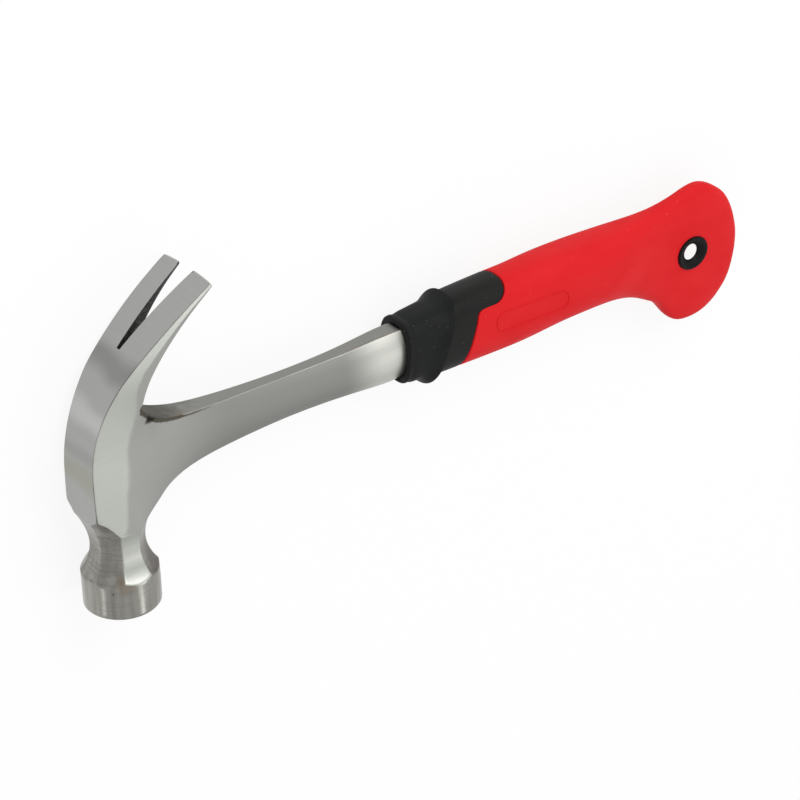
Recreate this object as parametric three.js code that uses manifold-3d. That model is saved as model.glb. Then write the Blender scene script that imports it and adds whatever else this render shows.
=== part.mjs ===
// A one-piece forged claw hammer with a moulded grip, lying on its side. Sizes are in millimetres.
// The drawing's axes: X runs along the handle from the head to the butt, Y along the head from the
// striking face to the claws, and Z through the thickness, with 0 at mid thickness.

import * as THREE from 'three';
import { mergeVertices } from 'three/addons/utils/BufferGeometryUtils.js';
import Module from 'manifold-3d';

// Fits
const FIT_GAP = 0.3;
const CUT_MARGIN = 6;

// Poll and neck
const POLL_DIAMETER = 28;
const FACE_BEVEL = 1.2;
const POLL_LENGTH = 14; // striking face to the lowest point of the neck's facets
const NECK_FACETS = 8;
const NECK_ACROSS_FLATS = 18;
const NECK_HEIGHT = 26; // striking face to the waist of the neck
const NECK_OFFSET = 0.2; // head axis to the neck's own axis, which lies in front of it
const SHOULDER_HEIGHT = 42.4; // striking face to the lower corners of the front strip

// Cheeks and claws
const HEAD_FRONT = 13.4; // head axis to the front strip
const HEAD_WIDTH = 20; // across the cheeks
const CHEEK_RIDGE = 5; // head axis to the ridge behind which the cheeks taper
const CLAW_BEND_HEIGHT = 57.5; // striking face to where the strip begins to bend
const CLAW_BEND_RADIUS = 53; // outer curve from there to the claws
const CLAW_BEND_ANGLE = 45; // degrees that this curve turns
const CLAW_RADIUS = 190; // outer curve along the claws
const CLAW_LENGTH = 41.6; // along that curve to the tips
const CLAW_SPREAD_HEIGHT = 68; // striking face to where the claws begin to spread
const CLAW_TIP_WIDTH = 28.4; // across both tips
const CLAW_TIP_THICKNESS = 1.2;
const CLAW_HOLLOW = 3.6; // how far the underside of the claws bows in
const CROTCH_REACH = 8; // head axis to the claws' underside where it meets the shank
const CROTCH_RISE = 22; // shank axis up to that place
const CROTCH_SLOPE = 8; // below it, over which the cheeks' rear edge comes in to the ridge
const SLOT_LENGTH = 36;
const SLOT_TIP_WIDTH = 8.2;
const SLOT_END_WIDTH = 1.6;
const SLOT_FLARE = 0.18; // by which the slot widens below the outer curve, for each tip width of depth
const SLOT_OFFSET = 1; // mid thickness to the slot's own middle, ground nearer to one cheek

// Shank and tang
const SHANK_AXIS_HEIGHT = 59; // striking face to the middle of the shank
const ROOT_DROP = 24.5; // shank axis down to the lower edge of the shank's root
const ROOT_RUN_ABOVE = 7.2; // along the shank, over which most of the root's swelling above it dies away
const ROOT_RUN_BELOW = 17; // and below it
const CHEEK_RUN = 15; // along the shank, over which most of the cheeks' taper happens
const ROOT_SQUARENESS = 9; // of the root's section, where 2 is an oval and more is squarer
const SHANK_HEIGHT = 16.4; // across the waist of the shank
const SHANK_THICKNESS = 10;
const SHANK_SQUARENESS = 3.3;
const SHANK_WAIST = 75; // head axis to the waist of the shank
const COLLAR_HEIGHT = 19.2; // across the shank where it enters the boot
const COLLAR_THICKNESS = 14;
const TANG_HEIGHT = 14;
const TANG_THICKNESS = 7;
const TANG_INSET = 6; // start of the butt back to the end of the tang

// Boot
const BOOT_REACH = 118.4; // head axis to the front lip of the boot
const BOOT_LENGTH = 19.7; // along its middle
const BOOT_RISE = 0.5; // shank axis up to the middle of the boot
const BOOT_LIP_WALL = 2.1;
const BOOT_LIP_ROUND = 1;
const BOOT_SWELL = 0.8; // by which its waist stands over the lip
const BOOT_RIDGE_HEIGHT = 33.8;
const BOOT_RIDGE_THICKNESS = 25;
const RIDGE_INSET = 1.4; // rear of the boot to the crest of its ridge
const RIDGE_FRONT_RUN = 5; // half width of the ridge in front of its crest
const RIDGE_REAR_RUN = 2.2; // and behind it
const GRIP_SQUARENESS = 2.6; // of the boot's and the grip's sections
const BOOT_LEAN = 0.36; // run for each mm of rise by which the rear of the boot slants to the butt

// Grip
const GRIP_RISE = 2.2; // shank axis up to the middle of the grip
const GRIP_HEIGHT = 31;
const GRIP_THICKNESS = 23;
const GRIP_CROWN = 1.5; // by which the grip's outline bows
const GRIP_WAIST_HEIGHT = 29.7; // across the finger hollow in front of the butt
const HOLLOW_INSET = 20; // start of the butt to the finger hollow
const GRIP_REACH = 290.2; // head axis to the end of the butt
const BUTT_LENGTH = 48;
const BUTT_RISE = 21.4; // grip axis up to the top of the butt
const BUTT_DROP = 36.2; // grip axis down to the bottom of the butt's hook
const BUTT_THICKNESS = 10;
const BUTT_SQUARENESS = 4;
const BAND_LENGTH = 10.6; // black band behind the boot, at the grip axis
const TONGUE_LENGTH = 28.4; // black thumb tongue behind the boot, along the top of the grip
const TONGUE_DEPTH = 8; // grip axis up to the tongue's lower edge
const TONGUE_CORNER = 3;
const TONGUE_ROUND = 7; // how far the tongue's rounded end reaches forward
const SKIN_WALL = 3;

// Hang hole
const HOLE_INSET = 25.8; // end of the butt to the hole's axis
const HOLE_DROP = 5.4; // grip axis down to the hole's axis
const BUSH_DIAMETER = 14;
const BUSH_WALL = 2.6; // at the narrowest place of its bore
const BUSH_RIM = 0.6; // left at the mouths, where the bore opens
const BUSH_INSET = 1; // sides of the butt in to its ends
const BOSS_WALL = 4;

// Smoothness
const ROUND_SIDES = 48;
const SECTION_SIDES = 32;
const CURVE_STEPS = 12;
const BORE_STEPS = 6;
const MERGE_DISTANCE = 1e-4;

const wasm = await Module();
wasm.setup();

// Solids from geometries, and geometries from solids

function solidOf(geometry) {
	geometry.deleteAttribute('normal');
	geometry.deleteAttribute('uv');
	const merged = mergeVertices(geometry, MERGE_DISTANCE);
	const corners = merged.index.array;
	const triangles = [];
	for (let i = 0; i < corners.length; i += 3) {
		const [a, b, c] = corners.slice(i, i + 3);
		if (a !== b && b !== c && c !== a) triangles.push(a, b, c);
	}
	return new wasm.Manifold(new wasm.Mesh({
		numProp: 3,
		vertProperties: new Float32Array(merged.attributes.position.array),
		triVerts: new Uint32Array(triangles),
	}));
}

function geometryOf(solid) {
	const mesh = solid.getMesh();
	const geometry = new THREE.BufferGeometry();
	geometry.setAttribute('position', new THREE.BufferAttribute(mesh.vertProperties, 3));
	geometry.setIndex(new THREE.BufferAttribute(mesh.triVerts, 1));
	return geometry;
}

function extruded(shape, depth) {
	const geometry = new THREE.ExtrudeGeometry(shape, {
		depth, bevelEnabled: false, curveSegments: CURVE_STEPS,
	});
	return geometry.translate(0, 0, -depth / 2);
}

function block(low, high) {
	const size = new THREE.Vector3().subVectors(high, low);
	const middle = new THREE.Vector3().addVectors(low, high).multiplyScalar(0.5);
	return solidOf(new THREE.BoxGeometry(size.x, size.y, size.z).translate(middle.x, middle.y, middle.z));
}

function polyline(points) {
	return new THREE.Shape(points.map(([x, y]) => new THREE.Vector2(x, y)));
}

// A smooth function of x through a few points
function curveThrough(points) {
	const curve = new THREE.CubicInterpolant(points.map((p) => p[0]), points.map((p) => p[1]), 1);
	return (x) => curve.evaluate(x)[0];
}

// Places to cut sections at: each stretch between two stops is divided into its own number of steps
function stations(stops) {
	const places = [stops[0][0]];
	for (let i = 1; i < stops.length; i += 1) {
		const [from] = stops[i - 1];
		const [to, steps] = stops[i];
		for (let k = 1; k <= steps; k += 1) places.push(from + (to - from) * k / steps);
	}
	return places;
}

// A closed body through rounded-box sections across X. A section may lean about the grip axis.
function loft(sections) {
	const points = [];
	const index = [];
	for (const { x, top, bottom, half, squareness, lean } of sections) {
		for (let k = 0; k < SECTION_SIDES; k += 1) {
			const angle = 2 * Math.PI * k / SECTION_SIDES;
			const bulge = (value) => Math.sign(value) * Math.abs(value) ** (2 / squareness);
			const y = (top + bottom) / 2 + (top - bottom) / 2 * bulge(Math.sin(angle));
			points.push(x + lean * (y - gripAxis), y, half * bulge(Math.cos(angle)));
		}
	}
	const last = sections.length - 1;
	for (let i = 0; i < last; i += 1) {
		for (let k = 0; k < SECTION_SIDES; k += 1) {
			const next = (k + 1) % SECTION_SIDES;
			const [a, b] = [i * SECTION_SIDES + k, i * SECTION_SIDES + next];
			const [c, d] = [a + SECTION_SIDES, b + SECTION_SIDES];
			index.push(a, c, b, b, c, d);
		}
	}
	for (const [section, first, flip] of [[sections[0], 0, false], [sections[last], last * SECTION_SIDES, true]]) {
		const centre = points.length / 3;
		const y = (section.top + section.bottom) / 2;
		points.push(section.x + section.lean * (y - gripAxis), y, 0);
		for (let k = 0; k < SECTION_SIDES; k += 1) {
			const [a, b] = [first + k, first + (k + 1) % SECTION_SIDES];
			index.push(centre, flip ? b : a, flip ? a : b);
		}
	}
	const geometry = new THREE.BufferGeometry();
	geometry.setAttribute('position', new THREE.Float32BufferAttribute(points, 3));
	geometry.setIndex(index);
	return solidOf(geometry);
}

// Places along and across the handle that several pieces share

const gripAxis = SHANK_AXIS_HEIGHT + GRIP_RISE;
const crotchHeight = SHANK_AXIS_HEIGHT + CROTCH_RISE;
const collarReach = BOOT_REACH + BOOT_LIP_WALL;
const bootRear = BOOT_REACH + BOOT_LENGTH;
const gripFront = bootRear + FIT_GAP;
const buttStart = GRIP_REACH - BUTT_LENGTH;
const tangReach = buttStart - TANG_INSET;
const holeReach = GRIP_REACH - HOLE_INSET;
const holeHeight = gripAxis - HOLE_DROP;

// Shank: outline and thickness along the handle

const rootTop = crotchHeight - CLAW_TIP_THICKNESS;
const rootBottom = SHANK_AXIS_HEIGHT - ROOT_DROP;
const waistTop = SHANK_AXIS_HEIGHT + SHANK_HEIGHT / 2;
const waistBottom = SHANK_AXIS_HEIGHT - SHANK_HEIGHT / 2;

// What is left at x of a swelling that starts at a place and dies away over a run
const swelling = (x, start, run) => Math.exp(-Math.max(x - start, 0) / run);

const shankTopLine = curveThrough([
	[0, waistTop],
	[SHANK_WAIST, waistTop],
	[collarReach, SHANK_AXIS_HEIGHT + COLLAR_HEIGHT / 2],
	[bootRear, gripAxis + TANG_HEIGHT / 2],
	[tangReach, gripAxis + TANG_HEIGHT / 2],
]);

const shankBottomLine = curveThrough([
	[0, waistBottom],
	[SHANK_WAIST, waistBottom],
	[collarReach, SHANK_AXIS_HEIGHT - COLLAR_HEIGHT / 2],
	[bootRear, gripAxis - TANG_HEIGHT / 2],
	[tangReach, gripAxis - TANG_HEIGHT / 2],
]);

const shankHalfLine = curveThrough([
	[0, SHANK_THICKNESS / 2],
	[SHANK_WAIST, SHANK_THICKNESS / 2],
	[collarReach, COLLAR_THICKNESS / 2],
	[bootRear, TANG_THICKNESS / 2],
	[tangReach, TANG_THICKNESS / 2],
]);

function shankTop(x) {
	return shankTopLine(x) + (rootTop - waistTop) * swelling(x, CROTCH_REACH, ROOT_RUN_ABOVE);
}

function shankBottom(x) {
	return shankBottomLine(x) - (waistBottom - rootBottom) * swelling(x, CROTCH_REACH, ROOT_RUN_BELOW);
}

function shankHalf(x) {
	return shankHalfLine(x) + (HEAD_WIDTH - SHANK_THICKNESS) / 2 * swelling(x, CHEEK_RIDGE, CHEEK_RUN);
}

function shankSquareness(x) {
	return SHANK_SQUARENESS + (ROOT_SQUARENESS - SHANK_SQUARENESS) * swelling(x, CROTCH_REACH, ROOT_RUN_BELOW);
}

function shank(gap) {
	const places = stations([
		[0], [CHEEK_RIDGE, 1], [CROTCH_REACH, 2], [CROTCH_REACH + ROOT_RUN_ABOVE, 5],
		[CROTCH_REACH + ROOT_RUN_ABOVE + ROOT_RUN_BELOW, 7], [SHANK_WAIST, 4], [collarReach, 4], [bootRear, 4],
		[tangReach + gap, 1],
	]);
	return loft(places.map((x) => ({
		x,
		top: shankTop(x) + gap,
		bottom: shankBottom(x) - gap,
		half: shankHalf(x) + gap,
		squareness: shankSquareness(x),
		lean: 0,
	})));
}

// Forging: poll, neck, cheeks, claws, shank and tang

const waistRadius = NECK_ACROSS_FLATS / 2;
const shoulderReach = (HEAD_FRONT - NECK_OFFSET + HEAD_WIDTH / 2) / Math.SQRT2;

// One hollow arc of the neck: from the waist to a height and reach from the neck's axis
function neckArc(rise, reach) {
	const out = reach - waistRadius;
	const radius = (rise ** 2 + out ** 2) / (2 * out);
	const points = [];
	for (let k = 0; k <= CURVE_STEPS; k += 1) {
		const step = rise * k / CURVE_STEPS;
		points.push([waistRadius + radius - Math.sqrt(radius ** 2 - step ** 2), NECK_HEIGHT + step]);
	}
	return { points, slope: Math.abs(rise) / (radius - out) };
}

// Faceted spool that grinds the neck: two hollow arcs from the waist, going on straight past their ends
function neckSpool() {
	const lower = neckArc(POLL_LENGTH - NECK_HEIGHT, POLL_DIAMETER / 2);
	const upper = neckArc(SHOULDER_HEIGHT - NECK_HEIGHT, shoulderReach);
	const under = POLL_LENGTH + CUT_MARGIN;
	const over = clawTip.place.y + CUT_MARGIN;
	const profile = [
		[0, -CUT_MARGIN],
		[POLL_DIAMETER / 2 + under * lower.slope, -CUT_MARGIN],
		...lower.points.reverse(),
		...upper.points.slice(1),
		[shoulderReach + over * upper.slope, SHOULDER_HEIGHT + over],
		[0, SHOULDER_HEIGHT + over],
	];
	const halfFacet = Math.PI / NECK_FACETS;
	const points = profile.map(([flat, y]) => new THREE.Vector2(flat / Math.cos(halfFacet), y));
	const spool = new THREE.LatheGeometry(points, NECK_FACETS, halfFacet);
	return solidOf(spool.translate(-NECK_OFFSET, 0, 0));
}

// Seen from above: full width to the ridge, then the taper down to the shank
function cheekTaper() {
	const rear = CROTCH_REACH + HEAD_FRONT;
	const side = stations([[CHEEK_RIDGE], [rear, CURVE_STEPS]]).map((x) => [x, shankHalf(x)]);
	const upper = [[-HEAD_FRONT, HEAD_WIDTH / 2], ...side];
	const lower = upper.map(([x, z]) => [x, -z]).reverse();
	const height = clawTip.place.y - NECK_HEIGHT;
	const prism = extruded(polyline([...upper, ...lower]), height).rotateX(-Math.PI / 2);
	return solidOf(prism.translate(0, NECK_HEIGHT + height / 2, 0));
}

function pollAndNeck(spool) {
	const radius = POLL_DIAMETER / 2;
	const profile = [
		[0, 0], [radius - FACE_BEVEL, 0], [radius, FACE_BEVEL], [radius, SHOULDER_HEIGHT], [0, SHOULDER_HEIGHT],
	].map(([r, y]) => new THREE.Vector2(r, y));
	const bar = solidOf(new THREE.LatheGeometry(profile, ROUND_SIDES)).intersect(spool);
	const wide = POLL_DIAMETER + CUT_MARGIN;
	const lowerHalf = block(
		new THREE.Vector3(-wide, -CUT_MARGIN, -wide),
		new THREE.Vector3(wide, NECK_HEIGHT, wide),
	);
	return bar.intersect(lowerHalf.add(cheekTaper()));
}

// Outer curve of the claws: a tight bend, then a flatter sweep to the tips. The angle is from upright.
const bendAngle = THREE.MathUtils.degToRad(CLAW_BEND_ANGLE);
const tipAngle = bendAngle + CLAW_LENGTH / CLAW_RADIUS;
const inwardAt = (angle) => new THREE.Vector2(Math.cos(angle), -Math.sin(angle));
const bendCentre = new THREE.Vector2(CLAW_BEND_RADIUS - HEAD_FRONT, CLAW_BEND_HEIGHT);
const clawCentre = inwardAt(bendAngle).multiplyScalar(CLAW_RADIUS - CLAW_BEND_RADIUS).add(bendCentre);

function clawPoint(angle) {
	const inward = inwardAt(angle);
	return { place: inward.clone().multiplyScalar(-CLAW_RADIUS).add(clawCentre), inward };
}

const clawTip = clawPoint(tipAngle);

function cheeksAndClaws(spool) {
	const tip = clawTip.place;
	const tipInside = clawTip.inward.clone().multiplyScalar(CLAW_TIP_THICKNESS).add(tip);
	const crotch = new THREE.Vector2(CROTCH_REACH, crotchHeight);
	const run = new THREE.Vector2().subVectors(crotch, tipInside).normalize();
	const bow = new THREE.Vector2(run.y, -run.x).multiplyScalar(2 * CLAW_HOLLOW);
	const control = new THREE.Vector2().addVectors(tipInside, crotch).multiplyScalar(0.5).add(bow);
	const side = new THREE.Shape();
	side.moveTo(CHEEK_RIDGE, NECK_HEIGHT);
	side.lineTo(CHEEK_RIDGE, crotchHeight - CROTCH_SLOPE);
	side.lineTo(crotch.x, crotch.y);
	side.quadraticCurveTo(control.x, control.y, tipInside.x, tipInside.y);
	side.lineTo(tip.x, tip.y);
	side.absarc(clawCentre.x, clawCentre.y, CLAW_RADIUS, Math.PI - tipAngle, Math.PI - bendAngle, false);
	side.absarc(bendCentre.x, bendCentre.y, CLAW_BEND_RADIUS, Math.PI - bendAngle, Math.PI, false);
	side.lineTo(-HEAD_FRONT, NECK_HEIGHT);
	const [narrow, wide] = [HEAD_WIDTH / 2, CLAW_TIP_WIDTH / 2];
	const middle = (CLAW_SPREAD_HEIGHT + tip.y) / 2;
	const front = new THREE.Shape();
	front.moveTo(-narrow, NECK_HEIGHT - CUT_MARGIN);
	front.lineTo(narrow, NECK_HEIGHT - CUT_MARGIN);
	front.lineTo(narrow, CLAW_SPREAD_HEIGHT);
	front.quadraticCurveTo(narrow, middle, wide, tip.y);
	front.lineTo(wide, tip.y + CUT_MARGIN);
	front.lineTo(-wide, tip.y + CUT_MARGIN);
	front.lineTo(-wide, tip.y);
	front.quadraticCurveTo(-narrow, middle, -narrow, CLAW_SPREAD_HEIGHT);
	const slab = solidOf(extruded(side, CLAW_TIP_WIDTH + CUT_MARGIN));
	const depth = 2 * (tip.x + HEAD_FRONT + CUT_MARGIN);
	const outline = solidOf(extruded(front, depth).rotateY(Math.PI / 2));
	return slab.intersect(outline).intersect(spool);
}

// Nail slot: a long wedge with a round end, cut square to the chord of the claws
function nailSlot() {
	const start = clawPoint(tipAngle - SLOT_LENGTH / CLAW_RADIUS).place;
	const along = new THREE.Vector2().subVectors(clawTip.place, start);
	const reach = along.length();
	const spread = (SLOT_TIP_WIDTH - SLOT_END_WIDTH) / 2 / reach;
	const end = reach + CUT_MARGIN;
	const round = SLOT_END_WIDTH / 2;
	const shape = new THREE.Shape();
	shape.moveTo(end, -round - spread * end);
	shape.lineTo(end, round + spread * end);
	shape.lineTo(round, round);
	shape.absarc(round, 0, round, Math.PI / 2, 3 * Math.PI / 2, false);
	along.normalize();
	const frame = new THREE.Matrix4().makeBasis(
		new THREE.Vector3(along.x, along.y, 0),
		new THREE.Vector3(0, 0, 1),
		new THREE.Vector3(along.y, -along.x, 0),
	).setPosition(start.x, start.y, -SLOT_OFFSET);
	const wedge = extruded(shape, 2 * CLAW_TIP_WIDTH);
	const corners = wedge.attributes.position;
	for (let i = 0; i < corners.count; i += 1) {
		const flare = 1 + SLOT_FLARE * corners.getZ(i) / SLOT_TIP_WIDTH;
		corners.setY(i, corners.getY(i) * flare);
	}
	return solidOf(wedge.applyMatrix4(frame));
}

function forging() {
	const spool = neckSpool();
	return pollAndNeck(spool).add(cheeksAndClaws(spool)).add(shank(0)).subtract(nailSlot());
}

// Boot: front lip, hollow waist and flared guard ridge, slanting more and more towards its rear

function boot() {
	const middle = SHANK_AXIS_HEIGHT + BOOT_RISE;
	const crest = bootRear - RIDGE_INSET;
	const lipEdge = (x) => {
		const share = Math.min((x - BOOT_REACH) / BOOT_LIP_ROUND, 1);
		return BOOT_LIP_ROUND * (1 - Math.sqrt(share * (2 - share)));
	};
	const ridge = (x) => Math.exp(-(((x - crest) / (x < crest ? RIDGE_FRONT_RUN : RIDGE_REAR_RUN)) ** 2));
	const outline = (lip, full) => (x) => THREE.MathUtils.lerp(lip + BOOT_SWELL, full, ridge(x)) - lipEdge(x);
	const height = outline(COLLAR_HEIGHT / 2 + BOOT_LIP_WALL, BOOT_RIDGE_HEIGHT / 2);
	const half = outline(COLLAR_THICKNESS / 2 + BOOT_LIP_WALL, BOOT_RIDGE_THICKNESS / 2);
	const lean = curveThrough([[BOOT_REACH, 0], [crest, BOOT_LEAN], [bootRear, BOOT_LEAN]]);
	const waist = (BOOT_REACH + crest) / 2;
	const places = stations([[BOOT_REACH], [BOOT_REACH + BOOT_LIP_ROUND, 4], [waist, 3], [crest, 7], [bootRear, 3]]);
	const body = loft(places.map((x) => ({
		x,
		top: middle + height(x),
		bottom: middle - height(x),
		half: half(x),
		squareness: GRIP_SQUARENESS,
		lean: lean(x),
	})));
	return body.subtract(shank(FIT_GAP));
}

// Grip: outline and thickness along the handle. Its straight part runs from the boot to the finger hollow.

const hollowReach = buttStart - HOLLOW_INSET;
const straightAt = (share) => gripFront + share * (hollowReach - gripFront);
const buttAt = (share) => buttStart + share * BUTT_LENGTH;
const gripRoof = gripAxis + GRIP_HEIGHT / 2;
const gripFloor = gripAxis - GRIP_HEIGHT / 2;
const hollowRoof = gripRoof + 0.5 * GRIP_CROWN;
const above = (share) => gripAxis + share * BUTT_RISE;
const below = (share) => gripAxis - share * BUTT_DROP;

const gripTop = curveThrough([
	[gripFront, gripRoof - GRIP_CROWN],
	[straightAt(0.28), gripRoof - 0.13 * GRIP_CROWN],
	[straightAt(0.6), gripRoof + 0.87 * GRIP_CROWN],
	[hollowReach, hollowRoof],
	[buttAt(0.083), above(0.785)],
	[buttAt(0.31), above(0.879)],
	[buttAt(0.458), above(0.963)],
	[buttAt(0.583), above(1)],
	[buttAt(0.75), above(0.893)],
	[buttAt(0.875), above(0.645)],
	[buttAt(0.958), above(0.3)],
	[GRIP_REACH, gripAxis],
]);

const gripBottom = curveThrough([
	[gripFront, gripFloor],
	[straightAt(0.45), gripFloor - 0.2 * GRIP_CROWN],
	[straightAt(0.72), gripFloor + 0.67 * GRIP_CROWN],
	[hollowReach, hollowRoof - GRIP_WAIST_HEIGHT],
	[buttAt(-0.146), below(0.4475)],
	[buttAt(0.031), below(0.586)],
	[buttAt(0.156), below(0.729)],
	[buttAt(0.26), below(0.892)],
	[buttAt(0.365), below(0.967)],
	[buttAt(0.49), below(1)],
	[buttAt(0.677), below(0.956)],
	[buttAt(0.823), below(0.818)],
	[buttAt(0.9375), below(0.586)],
	[GRIP_REACH, below(0.193)],
]);

const gripHalf = curveThrough([
	[gripFront, 0.465 * GRIP_THICKNESS],
	[straightAt(0.5), 0.5 * GRIP_THICKNESS],
	[straightAt(0.92), 0.5 * GRIP_THICKNESS],
	[buttAt(0.125), 0.55 * BUTT_THICKNESS],
	[buttAt(0.25), 0.5 * BUTT_THICKNESS],
	[buttAt(0.75), 0.5 * BUTT_THICKNESS],
	[buttAt(0.917), 0.41 * BUTT_THICKNESS],
	[buttAt(0.975), 0.29 * BUTT_THICKNESS],
	[GRIP_REACH, 0.14 * BUTT_THICKNESS],
]);

const gripSquareness = curveThrough([
	[gripFront, GRIP_SQUARENESS],
	[hollowReach, GRIP_SQUARENESS],
	[buttAt(0.25), BUTT_SQUARENESS],
	[GRIP_REACH, BUTT_SQUARENESS],
]);

const gripLean = curveThrough([[gripFront, BOOT_LEAN], [straightAt(0.4), 0], [hollowReach, 0], [GRIP_REACH, 0]]);

function gripBody(shrink, to) {
	const stops = [
		[straightAt(0.6), 5], [hollowReach, 3], [buttAt(0.031), 4], [buttAt(0.365), 6],
		[buttAt(0.823), 5], [buttAt(0.958), 4], [GRIP_REACH, 3],
	];
	const places = stations([[gripFront], ...stops.filter(([x]) => x < to), [to, 3]]);
	return loft(places.map((x) => ({
		x,
		top: gripTop(x) - shrink,
		bottom: gripBottom(x) + shrink,
		half: gripHalf(x) - shrink,
		squareness: gripSquareness(x),
		lean: gripLean(x),
	})));
}

// Seen from the side: the black band and its tongue, let out by a gap where the skin is cut for it
function bandZone(gap) {
	const far = GRIP_HEIGHT + CUT_MARGIN;
	const rear = gripFront + BAND_LENGTH + gap;
	const tongue = gripFront + TONGUE_LENGTH + gap;
	const edge = gripAxis + TONGUE_DEPTH - gap;
	const rearAt = (y) => rear + BOOT_LEAN * (y - gripAxis);
	const shape = new THREE.Shape();
	shape.moveTo(gripFront - far, gripAxis - far);
	shape.lineTo(rearAt(gripAxis - far), gripAxis - far);
	shape.lineTo(rearAt(edge - TONGUE_CORNER), edge - TONGUE_CORNER);
	shape.quadraticCurveTo(rearAt(edge), edge, rearAt(edge) + TONGUE_CORNER, edge);
	shape.lineTo(tongue - TONGUE_ROUND, edge);
	shape.quadraticCurveTo(tongue - TONGUE_ROUND / 3, edge, tongue, gripRoof);
	shape.lineTo(tongue, gripAxis + far);
	shape.lineTo(gripFront - far, gripAxis + far);
	return solidOf(extruded(shape, GRIP_THICKNESS + 2 * CUT_MARGIN));
}

function holeCylinder(radius, length) {
	const cylinder = new THREE.CylinderGeometry(radius, radius, length, ROUND_SIDES);
	return solidOf(cylinder.rotateX(Math.PI / 2).translate(holeReach, holeHeight, 0));
}

// The part of the core inside the skin: a bar along the tang and a boss round the hang hole
function hiddenCore(gap) {
	const bar = gripBody(SKIN_WALL - gap, buttStart + gap);
	const half = BUTT_THICKNESS / 2 - SKIN_WALL + gap;
	const rise = BUSH_DIAMETER / 2 + gap;
	const link = block(
		new THREE.Vector3(buttStart - BOSS_WALL, holeHeight - rise, -half),
		new THREE.Vector3(holeReach, holeHeight + rise, half),
	);
	const boss = holeCylinder(BUSH_DIAMETER / 2 + BOSS_WALL + gap, 2 * half);
	return bar.add(link).add(boss);
}

function bushHole() {
	return holeCylinder(BUSH_DIAMETER / 2 + FIT_GAP, BUTT_THICKNESS + 2 * CUT_MARGIN);
}

function core() {
	const band = gripBody(0, buttStart).intersect(bandZone(0));
	return band.add(hiddenCore(0)).subtract(shank(FIT_GAP)).subtract(bushHole());
}

function skin() {
	const inside = bandZone(FIT_GAP).add(hiddenCore(FIT_GAP)).add(shank(FIT_GAP)).add(bushHole());
	return gripBody(0, GRIP_REACH).subtract(inside);
}

// Bush: a ring through the butt whose bore opens towards both mouths
function bush() {
	const half = BUTT_THICKNESS / 2 - BUSH_INSET;
	const radius = BUSH_DIAMETER / 2;
	const profile = [[radius - BUSH_RIM, -half], [radius, -half], [radius, half]];
	for (let k = 0; k <= BORE_STEPS; k += 1) {
		const height = half - 2 * half * k / BORE_STEPS;
		const wall = BUSH_WALL - (BUSH_WALL - BUSH_RIM) * (height / half) ** 2;
		profile.push([radius - wall, height]);
	}
	const points = profile.map(([r, height]) => new THREE.Vector2(r, height));
	const ring = new THREE.LatheGeometry(points, ROUND_SIDES).rotateX(Math.PI / 2);
	return solidOf(ring.translate(holeReach, holeHeight, 0));
}

// Assembly: one named mesh for each piece, set down on its side with the origin under its middle

const PIECES = [
	['forged_head_shank', forging, { color: 0xa3a39f, roughness: 0.35, metalness: 1 }],
	['front_boot', boot, { color: 0x2b2c2c, roughness: 0.75, metalness: 0 }],
	['grip_core', core, { color: 0x2f2f2e, roughness: 0.6, metalness: 0 }],
	['grip_skin', skin, { color: 0xdf2c31, roughness: 0.55, metalness: 0 }],
	['hang_hole_bush', bush, { color: 0x1e1e1e, roughness: 0.5, metalness: 0 }],
];

const hammer = new THREE.Group();
for (const [name, make, look] of PIECES) {
	const mesh = new THREE.Mesh(geometryOf(make()), new THREE.MeshStandardMaterial(look));
	mesh.name = name;
	hammer.add(mesh);
}
const box = new THREE.Box3().setFromObject(hammer);
const middle = box.getCenter(new THREE.Vector3());
hammer.position.set(-middle.x, -middle.y, -box.min.z);

const part = new THREE.Group();
part.add(hammer);

export default part;
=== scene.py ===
"""Looks of a one-piece forged claw hammer with a moulded grip, lying on its side."""

import logging
import math
from dataclasses import dataclass, field
from enum import Enum
from typing import Any, Callable, Iterable, Sequence

import bpy
import numpy as np
from mathutils import Matrix, Vector


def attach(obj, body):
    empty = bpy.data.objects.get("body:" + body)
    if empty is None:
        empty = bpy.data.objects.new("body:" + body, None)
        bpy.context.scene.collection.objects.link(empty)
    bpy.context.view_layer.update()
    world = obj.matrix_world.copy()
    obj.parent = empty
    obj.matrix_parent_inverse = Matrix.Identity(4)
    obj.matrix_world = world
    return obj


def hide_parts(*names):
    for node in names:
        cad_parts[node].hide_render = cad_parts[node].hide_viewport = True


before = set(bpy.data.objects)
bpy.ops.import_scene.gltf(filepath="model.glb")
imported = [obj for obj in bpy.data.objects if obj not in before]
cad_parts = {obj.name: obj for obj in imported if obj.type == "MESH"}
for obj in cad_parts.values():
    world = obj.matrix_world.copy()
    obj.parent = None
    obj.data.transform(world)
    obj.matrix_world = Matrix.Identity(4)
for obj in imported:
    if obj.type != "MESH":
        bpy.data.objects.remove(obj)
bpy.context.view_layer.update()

LOG = logging.getLogger("hammer")
Array, Body, Material = np.ndarray, bpy.types.Object, bpy.types.Material
Node, Tree = bpy.types.Node, bpy.types.NodeTree
Point = tuple[float, float, float]
Pair = tuple[float, float]
# A range of values and, where it goes on, the range that it is turned into
Span = tuple[float, ...]

# The hammer's own frame, in mm: x from the axis of the poll towards the butt, y up from the striking face
# to the claws, z from the middle plane. This is where its origin lies in the shared frame.
HAMMER_ORIGIN_MM = (-138.1, -60.475, 14.2)
METRES_PER_MM = 0.001


def placed(points: Array) -> Array:
    """Turns points of the hammer's own frame, in mm, into metres of the shared frame."""
    return (np.asarray(points, float) + np.array(HAMMER_ORIGIN_MM)) * METRES_PER_MM


def eased(share: float) -> float:
    """Eases a share in and out, from nought to one."""
    return share * share * (3 - 2 * share)


def squared(value: Array, power: Array | float) -> Array:
    """Draws a circle's ordinate out towards a square."""
    return np.sign(value) * np.abs(value) ** power


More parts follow.
